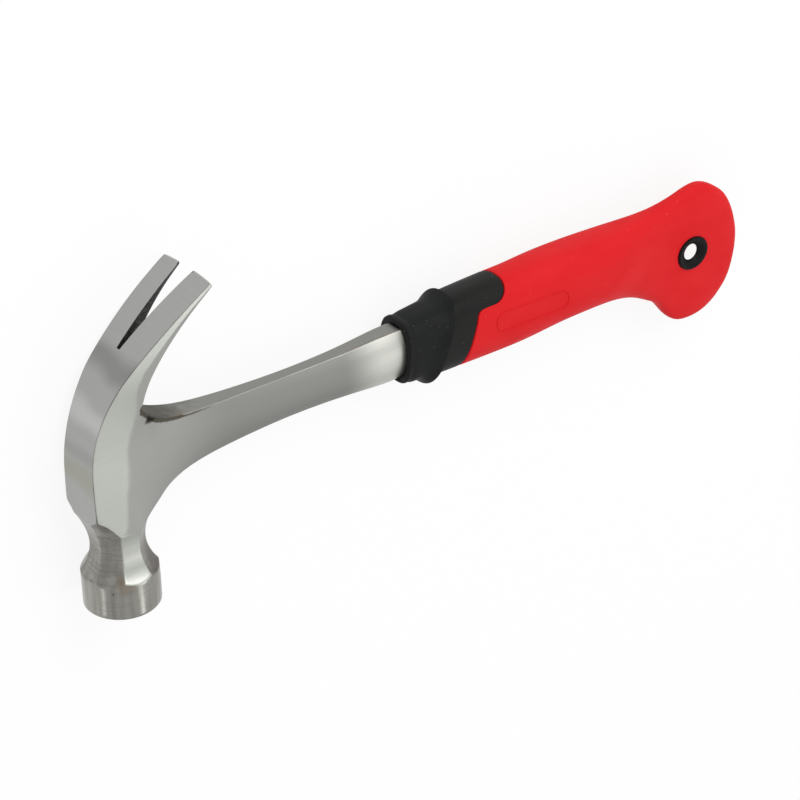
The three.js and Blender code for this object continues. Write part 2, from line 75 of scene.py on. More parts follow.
def linear(code: str) -> tuple[float, float, float, float]:
    """Turns an sRGB hex colour into linear values.

    Args:
        code: six hex digits.

    Returns:
        Red, green, blue and an alpha of one.
    """
    parts = [int(code[i:i + 2], 16) / 255 for i in (0, 2, 4)]
    red, green, blue = (p / 12.92 if p <= 0.04045 else ((p + 0.055) / 1.055) ** 2.4 for p in parts)
    return red, green, blue, 1.0


def add_node(tree: Tree, kind: str, inputs: dict[Any, Any] | Sequence[Any] = (),
             **settings: Any) -> Node:
    """Adds a node with its settings and links.

    Args:
        tree: where the node goes.
        kind: Blender's name of the node type.
        inputs: socket name or number to what it gets, or what the sockets get in their order: a value, a hex
            colour, or the socket or node that feeds it.
        settings: the node's own properties.

    Returns:
        The new node.
    """
    node = tree.nodes.new(kind)
    for key, value in settings.items():
        setattr(node, key, value)
    for key, value in (inputs if isinstance(inputs, dict) else dict(enumerate(inputs))).items():
        if isinstance(value, Node):
            value = next(socket for socket in value.outputs if socket.enabled)
        if isinstance(value, bpy.types.NodeSocket):
            tree.links.new(value, node.inputs[key])
        else:
            node.inputs[key].default_value = linear(value) if isinstance(value, str) else value
    return node


class SmoothLine:
    """A smooth function through a few points, its slope at each the mean of the slopes beside it."""

    def __init__(self, points: Iterable[Pair]) -> None:
        """Keeps the points in order and works out their slopes."""
        ordered = np.array(sorted(points), float)
        self.x, self.y = ordered[:, 0], ordered[:, 1]
        steps = np.diff(self.y) / np.diff(self.x)
        inner = (steps[:-1] + steps[1:]) / 2
        self.slope = np.concatenate([steps[:1], inner, steps[-1:]])

    def __call__(self, x: Array | float) -> Array:
        """Gives the value at x, held at its end values outside the points."""
        x = np.clip(np.asarray(x, float), self.x[0], self.x[-1])
        i = np.clip(np.searchsorted(self.x, x) - 1, 0, len(self.x) - 2)
        run = self.x[i + 1] - self.x[i]
        t = (x - self.x[i]) / run
        start = (1 + 2 * t) * (1 - t) ** 2 * self.y[i] + t * (1 - t) ** 2 * run * self.slope[i]
        return start + t * t * (3 - 2 * t) * self.y[i + 1] + t * t * (t - 1) * run * self.slope[i + 1]


class Pick(Enum):
    """What a selection in edit mode is made of."""

    VERTICES = (True, False, False)
    EDGES = (False, True, False)
    FACES = (False, False, True)


class Workpiece:
    """One mesh on the bench, shaped with edit-mode operators."""

    def __init__(self, name: str) -> None:
        """Names the piece and clears the selection."""
        self.name = name
        self.body: Body | None = None
        bpy.ops.object.select_all(action="DESELECT")

    @property
    def mesh(self) -> bpy.types.Mesh:
        """The piece's mesh."""
        return self.body.data

    @staticmethod
    def take_all() -> None:
        """Selects the whole mesh, in edit mode."""
        bpy.ops.mesh.select_all(action="SELECT")

    @staticmethod
    def take_none() -> None:
        """Clears the selection, in edit mode."""
        bpy.ops.mesh.select_all(action="DESELECT")

    def adopt(self) -> "Workpiece":
        """Takes the primitive that was just added as the piece."""
        self.body = bpy.context.object
        self.body.name = self.name
        self.mesh.name = self.name
        return self

    def activate(self) -> None:
        """Makes the piece the one that object operators act on."""
        bpy.ops.object.select_all(action="DESELECT")
        self.body.select_set(True)
        bpy.context.view_layer.objects.active = self.body

    def start_grid(self, cells: int) -> "Workpiece":
        """Starts from a square grid of faces.

        Args:
            cells: faces along each side.

        Returns:
            The piece, with every vertex's column and row kept as attributes.
        """
        bpy.ops.mesh.primitive_grid_add(x_subdivisions=cells, y_subdivisions=cells, size=1)
        self.adopt()
        flat = self.coordinates()
        self.label("across", np.rint((flat[:, 0] + 0.5) * cells))
        self.label("deep", np.rint((flat[:, 1] + 0.5) * cells))
        self.label("level", np.zeros(len(flat)))
        return self

    def start_ring(self, points: Array) -> "Workpiece":
        """Starts from a ring of vertices.

        Args:
            points: the ring's places in the hammer's own frame.

        Returns:
            The piece, selected, with the place of each vertex round the ring kept as an attribute.
        """
        bpy.ops.mesh.primitive_circle_add(vertices=len(points), fill_type="NOTHING")
        self.adopt()
        self.label("around", np.arange(len(points)))
        self.move_all(points)
        self.operate(Pick.EDGES, self.take_all)
        return self

    def coordinates(self) -> Array:
        """Reads the vertices' places in metres."""
        flat = np.zeros(len(self.mesh.vertices) * 3)
        self.mesh.vertices.foreach_get("co", flat)
        return flat.reshape(-1, 3)

    def millimetres(self) -> Array:
        """Reads the vertices' places in the hammer's own frame."""
        return self.coordinates() / METRES_PER_MM - np.array(HAMMER_ORIGIN_MM)

    def move(self, chosen: Array, points: Array) -> None:
        """Moves vertices to places.

        Args:
            chosen: which vertices, true or false for each.
            points: their places in the hammer's own frame, in the same order.
        """
        places = self.coordinates()
        places[chosen] = placed(points)
        self.mesh.vertices.foreach_set("co", places.ravel())
        self.mesh.update()

    def move_all(self, points: Array) -> None:
        """Moves every vertex to its place in the hammer's own frame."""
        self.move(np.ones(len(points), bool), points)

    def label(self, name: str, values: Array) -> None:
        """Keeps a whole number for each vertex."""
        layer = self.mesh.attributes.get(name) or self.mesh.attributes.new(name, "INT", "POINT")
        layer.data.foreach_set("value", np.asarray(values, np.int32))

    def labels(self, name: str) -> Array:
        """Reads back the whole numbers that were kept for the vertices."""
        values = np.zeros(len(self.mesh.vertices), np.int32)
        self.mesh.attributes[name].data.foreach_get("value", values)
        return values

    def paint(self, name: str, shares: Array) -> None:
        """Keeps a share for each vertex, for a material to read."""
        layer = self.mesh.attributes.new(name, "FLOAT", "POINT")
        layer.data.foreach_set("value", np.asarray(shares, np.float32))

    def selected(self) -> Array:
        """Tells which vertices are selected."""
        flags = np.zeros(len(self.mesh.vertices), bool)
        self.mesh.vertices.foreach_get("select", flags)
        return flags

    def operate(self, pick: Pick, *operators: Callable[[], Any]) -> None:
        """Runs operators in edit mode on the current selection.

        Args:
            pick: what the selection is made of.
            operators: the steps, in order.
        """
        bpy.context.view_layer.objects.active = self.body
        bpy.context.tool_settings.mesh_select_mode = pick.value
        bpy.ops.object.mode_set(mode="EDIT")
        for operator in operators:
            operator()
        bpy.ops.object.mode_set(mode="OBJECT")

    def select_faces(self, wanted: Callable[[Array], bool]) -> None:
        """Selects the faces whose vertices all pass a test.

        Args:
            wanted: given a face's vertex numbers, tells whether to take it.
        """
        self.operate(Pick.FACES, self.take_none)
        for face in self.mesh.polygons:
            face.select = bool(wanted(np.array(face.vertices)))

    def extrude_faces(self) -> Array:
        """Extrudes the selected faces in place and tells which vertices are the new ones."""
        self.operate(Pick.FACES, bpy.ops.mesh.extrude_region_move)
        return self.selected()

    def extrude_ring(self, points: Array) -> None:
        """Extrudes the selected ring of edges to new places, given in the ring's own order."""
        self.operate(Pick.EDGES, bpy.ops.mesh.extrude_region_move)
        new = self.selected()
        self.move(new, np.asarray(points)[self.labels("around")[new]])

    def close_ring(self) -> None:
        """Fills the selected ring with a face."""
        self.operate(Pick.EDGES, bpy.ops.mesh.edge_face_add)

    def close_bore(self) -> None:
        """Joins the piece's two open rings by a bore, so that it is closed."""
        self.operate(
            Pick.EDGES, self.take_none, bpy.ops.mesh.select_non_manifold, bpy.ops.mesh.bridge_edge_loops,
        )

    def settle(self) -> None:
        """Merges doubles and points every face outwards."""
        self.operate(
            Pick.VERTICES,
            self.take_all,
            lambda: bpy.ops.mesh.remove_doubles(threshold=1e-6),
            lambda: bpy.ops.mesh.normals_make_consistent(inside=False),
        )

    def crease_by_angle(self, degrees: float, strength: float, spared: Array) -> None:
        """Creases the edges that turn more than an angle, so that the subdivision keeps them.

        Args:
            degrees: the least turn between the two faces.
            strength: the crease, from nought to one.
            spared: which vertices; an edge between two of them stays soft.
        """
        facing: dict[tuple[int, int], list[Vector]] = {}
        for face in self.mesh.polygons:
            for key in face.edge_keys:
                facing.setdefault(key, []).append(face.normal.copy())
        layer = self.mesh.attributes.new("crease_edge", "FLOAT", "EDGE")
        least = math.cos(math.radians(degrees))
        for edge in self.mesh.edges:
            normals = facing.get(edge.key, [])
            turned = len(normals) == 2 and normals[0].dot(normals[1]) < least
            soft = all(spared[corner] for corner in edge.vertices)
            layer.data[edge.index].value = strength if turned and not soft else 0.0

    def modify(self, kind: str, **settings: Any) -> None:
        """Adds a modifier with its settings and applies it."""
        self.activate()
        modifier = self.body.modifiers.new(kind.title(), kind)
        for key, value in settings.items():
            setattr(modifier, key, value)
        bpy.ops.object.modifier_apply(modifier=modifier.name)

    def subdivide(self, levels: int) -> None:
        """Rounds the piece with a subdivision surface."""
        self.modify("SUBSURF", levels=levels, render_levels=levels)

    def finish(self, materials: Sequence[Material], angle: float, slot: str,
               *nodes: str) -> Body:
        """Shades the piece smooth, dresses it and puts it on the hammer's body.

        Args:
            materials: its finishes, in the order of the faces' material numbers.
            angle: edges that turn more than this, in degrees, stay sharp.
            slot: not used.
            nodes: the CAD nodes that it stands for.

        Returns:
            The finished object.
        """
        self.activate()
        bpy.ops.object.shade_smooth_by_angle(angle=math.radians(angle))
        for material in materials:
            self.mesh.materials.append(material)
        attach(self.body, "root")
        if nodes:
            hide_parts(*nodes)
        LOG.info("%s: %d faces", self.name, len(self.mesh.polygons))
        return self.body


NOISE, RANGE, STRETCH = "ShaderNodeTexNoise", "ShaderNodeMapRange", "ShaderNodeMapping"
MATHS, LENGTHS, MIX = "ShaderNodeMath", "ShaderNodeVectorMath", "ShaderNodeMix"
AXES, PAINTED, PLACE = "ShaderNodeSeparateXYZ", "ShaderNodeAttribute", "ShaderNodeTexCoord"
OUTPUT, RAYS = "ShaderNodeOutputMaterial", "ShaderNodeLightPath"
# Settings of a range with eased ends, a mix of colours, a sum with a share of something, and a product
EASED = {"interpolation_type": "SMOOTHSTEP"}
COLOURS = {"data_type": "RGBA"}
PLUS_SHARE = {"operation": "MULTIPLY_ADD"}
TIMES = {"operation": "MULTIPLY"}
# Socket numbers of a mix of colours
SHARE, FROM, TO = 0, 6, 7
# Colours that more than one finish of the steel has
# The burr is a dark line with a painted dark reflection of the edge; the worn colour is wear and, along the
# shank's edges, a painted highlight
WORN_AND_HIGHLIT_STEEL, BLACK_SCALE, BURR_AND_DARK_REFLECTION = "cfcfca", "262421", "45433f"


def per_mm(sizes: Sequence[float]) -> tuple[float, ...]:
    """Turns a pattern's grain in mm along x, y and z into its scale."""
    return tuple(1 / size for size in sizes)


@dataclass
class Recipe:
    """What the patterns of a finish come to: a colour, the coats over it, its relief and other inputs."""

    base: Node | str
    coats: Sequence[tuple[Node, str]]
    height: Node
    inputs: dict[str, Any]


@dataclass(frozen=True)
class Finish:
    """What every finish shares: a material whose patterns are in mm of the hammer's own frame."""

    name: str
    # The strength of the relief and its depth in mm
    relief: Pair = (0.25, 0.02)

    def make(self) -> Material:
        """Builds the material."""
        material = bpy.data.materials.new(self.name)
        material.use_nodes = True
        tree = material.node_tree
        tree.nodes.clear()
        coordinates = add_node(tree, PLACE)
        place = add_node(tree, STRETCH, {
            "Vector": coordinates.outputs["Object"],
            "Scale": (1 / METRES_PER_MM,) * 3,
            "Location": tuple(-v for v in HAMMER_ORIGIN_MM),
        })
        recipe = self.patterns(tree, place)
        tone = recipe.base
        for share, colour in recipe.coats:
            tone = add_node(tree, MIX, {SHARE: share, FROM: tone, TO: colour}, **COLOURS)
        strength, depth_mm = self.relief
        bump = add_node(tree, "ShaderNodeBump", {
            "Strength": strength, "Distance": depth_mm * METRES_PER_MM, "Height": recipe.height,
        })
        surface = add_node(tree, "ShaderNodeBsdfPrincipled", {
            "Base Color": tone, "Normal": bump, **recipe.inputs,
        })
        add_node(tree, OUTPUT, {"Surface": surface})
        return material

    def patterns(self, tree: Tree, place: Node) -> Recipe:
        """Adds the finish's patterns.

        Args:
            tree: the material's tree.
            place: gives the place on the piece, in mm.

        Returns:
            What they come to.
        """
        raise NotImplementedError


@dataclass(frozen=True)
class BrushedSteel(Finish):
    """Drop-forged carbon steel, belt-brushed along the work."""

    # Satin grey with fine lines, polished brighter on the flat cheeks and by the boot and duller between, the
    # brightness by the boot partly a painted highlight; a dark line along the edge of the strip, which is a
    # burr with the painted dark reflection of the edge; olive grey where the brush missed; a bright line
    # along the edges of the shank, rubbed and a painted highlight; and black scale in the crotch. The lines
    # are really
    # about 0.05 mm apart: they are drawn coarser, so that they show.
    bright: str = "abada7"
    ends: str = "c2c4be"
    root: str = "a8a8a5"
    # By the boot: polish and a painted highlight
    satin: str = "90908d"
    collar_polish_and_highlight: str = "c8c8c2"
    dull: str = "5a574e"
    scratch_mm: Point = (16.0, 0.4, 6.0)
    cloud_mm: float = 14.0
    crumb_mm: float = 1.6
    middle_mm: float = 56.0
    ends_mm: Span = (31.0, 48.0)
    root_mm: Span = (8.0, 50.0)
    collar_mm: Span = (94.0, 113.0)
    crotch_mm: Point = (12.8, 73.9, 8.2)
    crust_mm: Point = (4.4, 2.0, 4.0)
    collar_sheen: float = 0.45
    # How much of a pattern makes the edges ragged: of the polish, the missed hollow, the wear with its
    # painted highlight and the crust
    ragged: Span = (0.2, 0.3, 0.4, 0.4)
    behind_span: Span = (0.5, 0.7)
    missed_span: Span = (0.6, 0.75)
    rubbed_and_highlit_span: Span = (1.02, 1.2, 0.0, 0.6)
    crust_span: Span = (0.75, 1.3, 0.95, 0.0)
    burr_and_reflection_span: Span = (0.78, 0.93)
    broken_span: Span = (0.35, 0.6, 0.3, 0.9)
    line_span: Span = (0.3, 0.75, 0.0, 0.16)
    rough_span: Span = (0.0, 1.0, 0.38, 0.6)

    def patterns(self, tree: Tree, place: Node) -> Recipe:
        """Adds brush lines, the brighter ends, the burr with its painted dark reflection, the wear with its
        painted highlight along the shank's edges, and the scale.
        """
        axes = add_node(tree, AXES, (place,))
        along = add_node(tree, STRETCH, {"Vector": place, "Scale": per_mm(self.scratch_mm)})
        scratches = add_node(tree, NOISE, {"Vector": along, "Scale": 1.0, "Detail": 3.0})
        clouds, crumbs = (
            add_node(tree, NOISE, {"Vector": place, "Scale": 1 / size, "Detail": 2.0})
            for size in (self.cloud_mm, self.crumb_mm)
        )
        cheek, edge, hollow, wear_and_highlight = (
            add_node(tree, PAINTED, attribute_name=name).outputs["Fac"]
            for name in ("behind", "edge", "hollow", "wear_and_highlight")
        )
        patch = add_node(tree, STRETCH, {
            "Vector": place, "Scale": per_mm(self.crust_mm),
            "Location": tuple(-middle / half for middle, half in zip(self.crotch_mm, self.crust_mm)),
        })
        away = add_node(tree, LENGTHS, (patch,), operation="LENGTH").outputs["Value"]
        # Where each of these lies, made ragged by a share of a pattern
        behind, missed, rubbed_and_highlit, crust = (
            add_node(tree, RANGE, (
                add_node(tree, MATHS, (pattern, share, where), **PLUS_SHARE), *span,
            ), **EASED)
            for pattern, share, where, span in (
                (clouds, self.ragged[0], cheek, self.behind_span),
                (scratches, self.ragged[1], hollow, self.missed_span),
                (scratches, self.ragged[2], wear_and_highlight, self.rubbed_and_highlit_span),
                (crumbs, self.ragged[3], away, self.crust_span),
            )
        )
        up = add_node(tree, MATHS, (axes.outputs["Y"], self.middle_mm), operation="SUBTRACT")
        up = add_node(tree, MATHS, (up,), operation="ABSOLUTE")
        near_boot, far_along, endward, line = (
            add_node(tree, RANGE, (value, *span), **EASED) for value, span in (
                (axes.outputs["X"], self.collar_mm), (axes.outputs["X"], self.root_mm),
                (up, self.ends_mm), (edge, self.burr_and_reflection_span),
            )
        )
        blasted = add_node(tree, MATHS, (near_boot, -self.collar_sheen, behind), **PLUS_SHARE)
        lines, broken, rough = (
            add_node(tree, RANGE, (value, *span)) for value, span in (
                (scratches, self.line_span), (clouds, self.broken_span), (blasted, self.rough_span),
            )
        )
        # The burr and the painted dark reflection along the strip's edge, broken here and there
        burr_and_reflection = add_node(tree, MATHS, (line, broken), **TIMES)
        polish, tone = (
            add_node(tree, MIX, {SHARE: share, FROM: start, TO: end}, **COLOURS)
            for share, start, end in ((endward, self.bright, self.ends), (far_along, self.root, self.satin))
        )
        base = add_node(tree, MIX, {SHARE: behind, FROM: polish, TO: tone}, **COLOURS)
        return Recipe(base, (
            (near_boot, self.collar_polish_and_highlight), (lines, self.satin), (burr_and_reflection, BURR_AND_DARK_REFLECTION), (missed, self.dull),
            (rubbed_and_highlit, WORN_AND_HIGHLIT_STEEL), (crust, BLACK_SCALE),
        ), scratches, {"Metallic": 1.0, "Roughness": rough})


@dataclass(frozen=True)
class StripSteel(Finish):
    """Forged steel ground across on a belt, for the strip up the front of the head and the claws."""

    # Smooth satin grey with faint lines across and soft bands, which are painted reflections of the room:
    # yellower below the bend and darker at the bend. It is rubbed bright at the tips of the claws, and has a
    # dark line along
    # both edges: a burr with the painted dark reflection of the edge. The lines are really about 0.05 mm
    # apart:
    # they are drawn coarser, so that they show.
    relief: Pair = (0.2, 0.02)
    mean: str = "a5a5a3"
    dark: str = "8b8b89"
    line_mm: Point = (1.2, 0.5, 14.0)
    sway_per_mm: float = 0.06
    sway_mm: float = 6.0
    # The middle and half of each painted reflection band up the head, in mm, its colour and how much of it
    # shows
    reflection_bands: tuple[tuple[float, float, str, float], ...] = (
        (57.5, 8.0, "9b9b90", 0.9), (78.5, 6.0, "b9b9b8", 1.0),
        (66.0, 4.0, "8b8b89", 0.45), (94.5, 6.0, "8b8b89", 1.0),
    )
    reflection_band_core: float = 0.15
    line_span: Span = (0.4, 0.75, 0.0, 0.14)
    burr_and_reflection_span: Span = (0.9, 0.98, 0.0, 0.5)
    wear_and_highlight_span: Span = (0.3, 0.9, 0.0, 0.5)
    roughness: float = 0.36

    def patterns(self, tree: Tree, place: Node) -> Recipe:
        """Adds the painted reflection bands, lines across, the burr and its painted dark reflection along
        both edges, and the worn tips.
        """
        sway = add_node(tree, NOISE, {"Vector": place, "Scale": self.sway_per_mm, "Detail": 1.0})
        axes = add_node(tree, AXES, (place,))
        height = add_node(tree, MATHS, (sway, self.sway_mm, axes.outputs["Y"]), **PLUS_SHARE)
        across = add_node(tree, STRETCH, {"Vector": place, "Scale": per_mm(self.line_mm)})
        lines = add_node(tree, NOISE, {"Vector": across, "Scale": 1.0, "Detail": 2.0})
        coats: list[tuple[Node, str]] = []
        for middle, half, colour, share in self.reflection_bands:
            # The sway lifts the height by half of its reach on the mean
            away = add_node(tree, MATHS, (height, middle + self.sway_mm / 2), operation="SUBTRACT")
            away = add_node(tree, MATHS, (away,), operation="ABSOLUTE")
            # Each band is a painted reflection, strongest at its middle
            inside = add_node(tree, RANGE, (away, self.reflection_band_core * half, half, share, 0.0), **EASED)
            coats.append((inside, colour))
        coats.append((add_node(tree, RANGE, (lines, *self.line_span)), self.dark))
        for name, span, colour in (
            ("edge", self.burr_and_reflection_span, BURR_AND_DARK_REFLECTION), ("wear_and_highlight", self.wear_and_highlight_span, WORN_AND_HIGHLIT_STEEL),
        ):
            painted = add_node(tree, PAINTED, attribute_name=name).outputs["Fac"]
            coats.append((add_node(tree, RANGE, (painted, *span), **EASED), colour))
        return Recipe(self.mean, coats, lines, {"Metallic": 1.0, "Roughness": self.roughness})


@dataclass(frozen=True)
class TurnedSteel(Finish):
    """Forged steel turned or coarsely ground round the poll and neck."""

    # Darker, brownish grey with fine lines round the work, dark streaks down it that paint the streaky
    # reflection of turned work, a breath of rust and small pits. It turns darker towards the rear: painted
    # shade. The lines
    # are really about 0.1 mm apart: they are drawn coarser, so that they show.
    relief: Pair = (0.25, 0.03)
    light: str = "9d9c97"
    dark: str = "848179"
    rust: str = "84725b"
    # The colour of the painted shade at the rear
    rear: str = "565450"
    pit: str = "3f3d3a"
    line_mm: Point = (14.0, 0.6, 14.0)
    # Dark streaks down the work: a painted reflection, the streaky shine of turned steel
    reflection_streak_mm: Point = (2.2, 30.0, 2.2)
    blush_mm: float = 2.5
    pit_mm: float = 1.1
    # Where the painted shade at the rear begins and ends along x, in mm, and how much of it
    rear_shade_mm: Span = (6.0, 13.0)
    rear_shade_share: Span = (0.0, 0.6)
    rust_middle_mm: Point = (-5.0, 14.5, 12.0)
    rust_span: Span = (1.0, 5.0, 0.85, 0.0)
    reflection_streak_span: Span = (0.36, 0.64, 0.0, 0.6)
    pit_span: Span = (0.82, 0.86, 0.0, 0.7)
    line_span: Span = (0.45, 0.66)
    lines_share: float = 0.3
    roughness: float = 0.24
    rough_play: float = 0.05

    def patterns(self, tree: Tree, place: Node) -> Recipe:
        """Adds lines round, painted reflection streaks down, rust, pits and painted shade at the rear."""
        axes = add_node(tree, AXES, (place,))
        round_it, down = (
            add_node(tree, STRETCH, {"Vector": place, "Scale": per_mm(size)})
            for size in (self.line_mm, self.reflection_streak_mm)
        )
        lines, reflection_streaks, blush, pits = (
            add_node(tree, NOISE, {"Vector": where, "Scale": scale, "Detail": detail})
            for where, scale, detail in (
                (round_it, 1.0, 2.5), (down, 1.0, 2.0),
                (place, 1 / self.blush_mm, 2.0), (place, 1 / self.pit_mm, 0.0),
            )
        )
        away = add_node(tree, LENGTHS, (place, self.rust_middle_mm), operation="DISTANCE").outputs["Value"]
        # dull is the painted shade towards the rear
        streaked_reflection, dull, near = (
            add_node(tree, RANGE, (value, *span), **EASED) for value, span in (
                (reflection_streaks, self.reflection_streak_span), (axes.outputs["X"], self.rear_shade_mm + self.rear_shade_share),
                (away, self.rust_span),
            )
        )
        rusty = add_node(tree, MATHS, (near, blush), **TIMES)
        least, most = self.roughness - self.rough_play, self.roughness + self.rough_play
        grey, pitted, rough = (
            add_node(tree, RANGE, (value, *span)) for value, span in (
                (lines, self.line_span + (0.0, self.lines_share)), (pits, self.pit_span),
                (lines, (0.0, 1.0, least, most)),
            )
        )
        return Recipe(self.light, (
            (streaked_reflection, self.dark), (grey, self.dark), (dull, self.rear), (rusty, self.rust),
            (pitted, self.pit),
        ), lines, {"Metallic": 1.0, "Roughness": rough})


@dataclass(frozen=True)
class ForgeScale(Finish):
    """Steel left as it came from the forge."""

    # Nearly black, rough scale, worn grey on its high spots
    relief: Pair = (0.6, 0.1)
    scale: str = "242322"
    worn: str = "525150"
    metallic: float = 0.6
    roughness: float = 0.55
    lump_mm: Point = (1.6, 0.7, 0.7)
    worn_span: Span = (0.45, 0.75)

    def patterns(self, tree: Tree, place: Node) -> Recipe:
        """Adds lumps of scale, worn on top."""
        along = add_node(tree, STRETCH, {"Vector": place, "Scale": per_mm(self.lump_mm)})
        lumps = add_node(tree, NOISE, {"Vector": along, "Scale": 1.0, "Detail": 3.0})
        worn = add_node(tree, RANGE, (lumps, *self.worn_span))
        inputs = {"Metallic": self.metallic, "Roughness": self.roughness}
        return Recipe(self.scale, ((worn, self.worn),), lumps, inputs)


@dataclass(frozen=True)
class ForgedSpine(Finish):
    """The flat top and bottom of the shank: forged steel that the brush hardly reached."""

    # Dull olive grey by the claws, with black scale in the crotch, lighter and cleaner towards the boot, with
    # brown stain in short strokes along its edges and those edges rubbed bright, with a painted highlight
    # along them
    relief: Pair = (0.4, 0.06)
    dull: str = "5d5b53"
    clean: str = "8a8a86"
    stain: str = "8a7358"
    crotch_mm: Point = (12.0, 73.8, 8.2)
    blotch_mm: float = 5.0
    blotch_reach_mm: float = 24.0
    crumb_mm: float = 1.8
    stroke_mm: Point = (7.0, 1.6, 1.6)
    # Where it turns clean, with the reach of the blotches in it
    clean_mm: Span = (30.0, 48.0)
    stained_mm: Span = (20.0, 30.0)
    edge_mm: Span = (1.5, 3.5)
    crust_span: Span = (3.0, 9.0, 1.0, 0.0)
    crumb_span: Span = (0.3, 0.5)
    stroke_span: Span = (0.46, 0.6, 0.0, 0.7)
    wear_and_highlight_span: Span = (0.8, 0.95, 0.0, 0.4)
    rough_span: Span = (0.0, 1.0, 0.75, 0.42)
    metal_span: Span = (0.0, 1.0, 0.4, 1.0)

    def patterns(self, tree: Tree, place: Node) -> Recipe:
        """Adds the change of tone along the shank, the scale, the stain, and the wear with a painted
        highlight along the edges.
        """
        axes = add_node(tree, AXES, (place,))
        along = add_node(tree, STRETCH, {"Vector": place, "Scale": per_mm(self.stroke_mm)})
        blotches, strokes, crumbs = (
            add_node(tree, NOISE, {"Vector": where, "Scale": scale, "Detail": detail})
            for where, scale, detail in (
                (place, 1 / self.blotch_mm, 3.0), (along, 1.0, 2.0), (place, 1 / self.crumb_mm, 2.0),
            )
        )
        reach = add_node(tree, MATHS, (blotches, self.blotch_reach_mm, axes.outputs["X"]), **PLUS_SHARE)
        away = add_node(tree, LENGTHS, (place, self.crotch_mm), operation="DISTANCE").outputs["Value"]
        worn_and_highlit_edge = add_node(tree, PAINTED, attribute_name="wear_and_highlight").outputs["Fac"]
        clean, stroked, near, rubbed_and_highlit = (
            add_node(tree, RANGE, (value, *span), **EASED) for value, span in (
                (reach, self.clean_mm), (strokes, self.stroke_span), (away, self.crust_span),
                (worn_and_highlit_edge, self.wear_and_highlight_span),
            )
        )
        edgeward, beyond, crumbled, rough, metal = (
            add_node(tree, RANGE, (value, *span)) for value, span in (
                (axes.outputs["Z"], self.edge_mm), (axes.outputs["X"], self.stained_mm),
                (crumbs, self.crumb_span), (clean, self.rough_span), (clean, self.metal_span),
            )
        )
        at_edge = add_node(tree, MATHS, (stroked, edgeward), **TIMES)
        stained, crusted, bared_and_highlit = (
            add_node(tree, MATHS, pair, **TIMES)
            for pair in ((at_edge, beyond), (near, crumbled), (rubbed_and_highlit, beyond))
        )
        return Recipe(self.dull, (
            (clean, self.clean), (stained, self.stain), (crusted, BLACK_SCALE), (bared_and_highlit, WORN_AND_HIGHLIT_STEEL),
        ), blotches, {"Metallic": metal, "Roughness": rough})


class SteelFace(Enum):
    """The forging's finishes, by the material number of its faces."""

    BRUSHED = 0
    STRIP = 1
    NECK = 2
    POLL = 3
    SLOT = 4
    SPINE = 5


@dataclass(frozen=True)
class MouldedRubber(Finish):
    """Moulded rubber or plastic, from a spark-eroded mould."""

    # An even colour with a fine grain, slightly clouded where it has been handled, with a few specks of dust.
    # The grain is really about 0.1 mm: it is drawn coarser, so that it shows.
    relief: Pair = (0.5, 0.05)
    colour: str = "808080"
    cloud: str = "707070"
    dust: str = "c0c0c0"
    roughness: float = 0.6
    rough_play: float = 0.06
    specular: float = 0.14
    cloud_mm: Point = (18.0, 11.0, 11.0)
    cloud_span: Span = (0.35, 0.68)
    handled_span: Span = (0.3, 0.7)
    speck_mm: float = 1.0
    dust_level: float = 0.74
    dust_rise: float = 0.06
    dust_share: float = 0.5
    grain_mm: float = 0.5

    def patterns(self, tree: Tree, place: Node) -> Recipe:
        """Adds clouds, dust and grain."""
        along = add_node(tree, STRETCH, {"Vector": place, "Scale": per_mm(self.cloud_mm)})
        clouds, specks, grain = (
            add_node(tree, NOISE, {"Vector": where, "Scale": scale, "Detail": detail})
            for where, scale, detail in (
                (along, 1.0, 3.0), (place, 1 / self.speck_mm, 1.0), (place, 1 / self.grain_mm, 2.0),
            )
        )
        least, most = self.roughness - self.rough_play, self.roughness + self.rough_play
        clouded, dusty, rough = (
            add_node(tree, RANGE, (value, *span)) for value, span in (
                (clouds, self.cloud_span),
                (specks, (self.dust_level, self.dust_level + self.dust_rise, 0.0, self.dust_share)),
                (clouds, self.handled_span + (least, most)),
            )
        )
        inputs = {"Roughness": rough, "Specular IOR Level": self.specular}
        return Recipe(self.colour, ((clouded, self.cloud), (dusty, self.dust)), grain, inputs)


def smooth_through(*points: Pair) -> Any:
    """Gives a dataclass field that holds a smooth line through points."""
    return field(default_factory=lambda: SmoothLine(points))


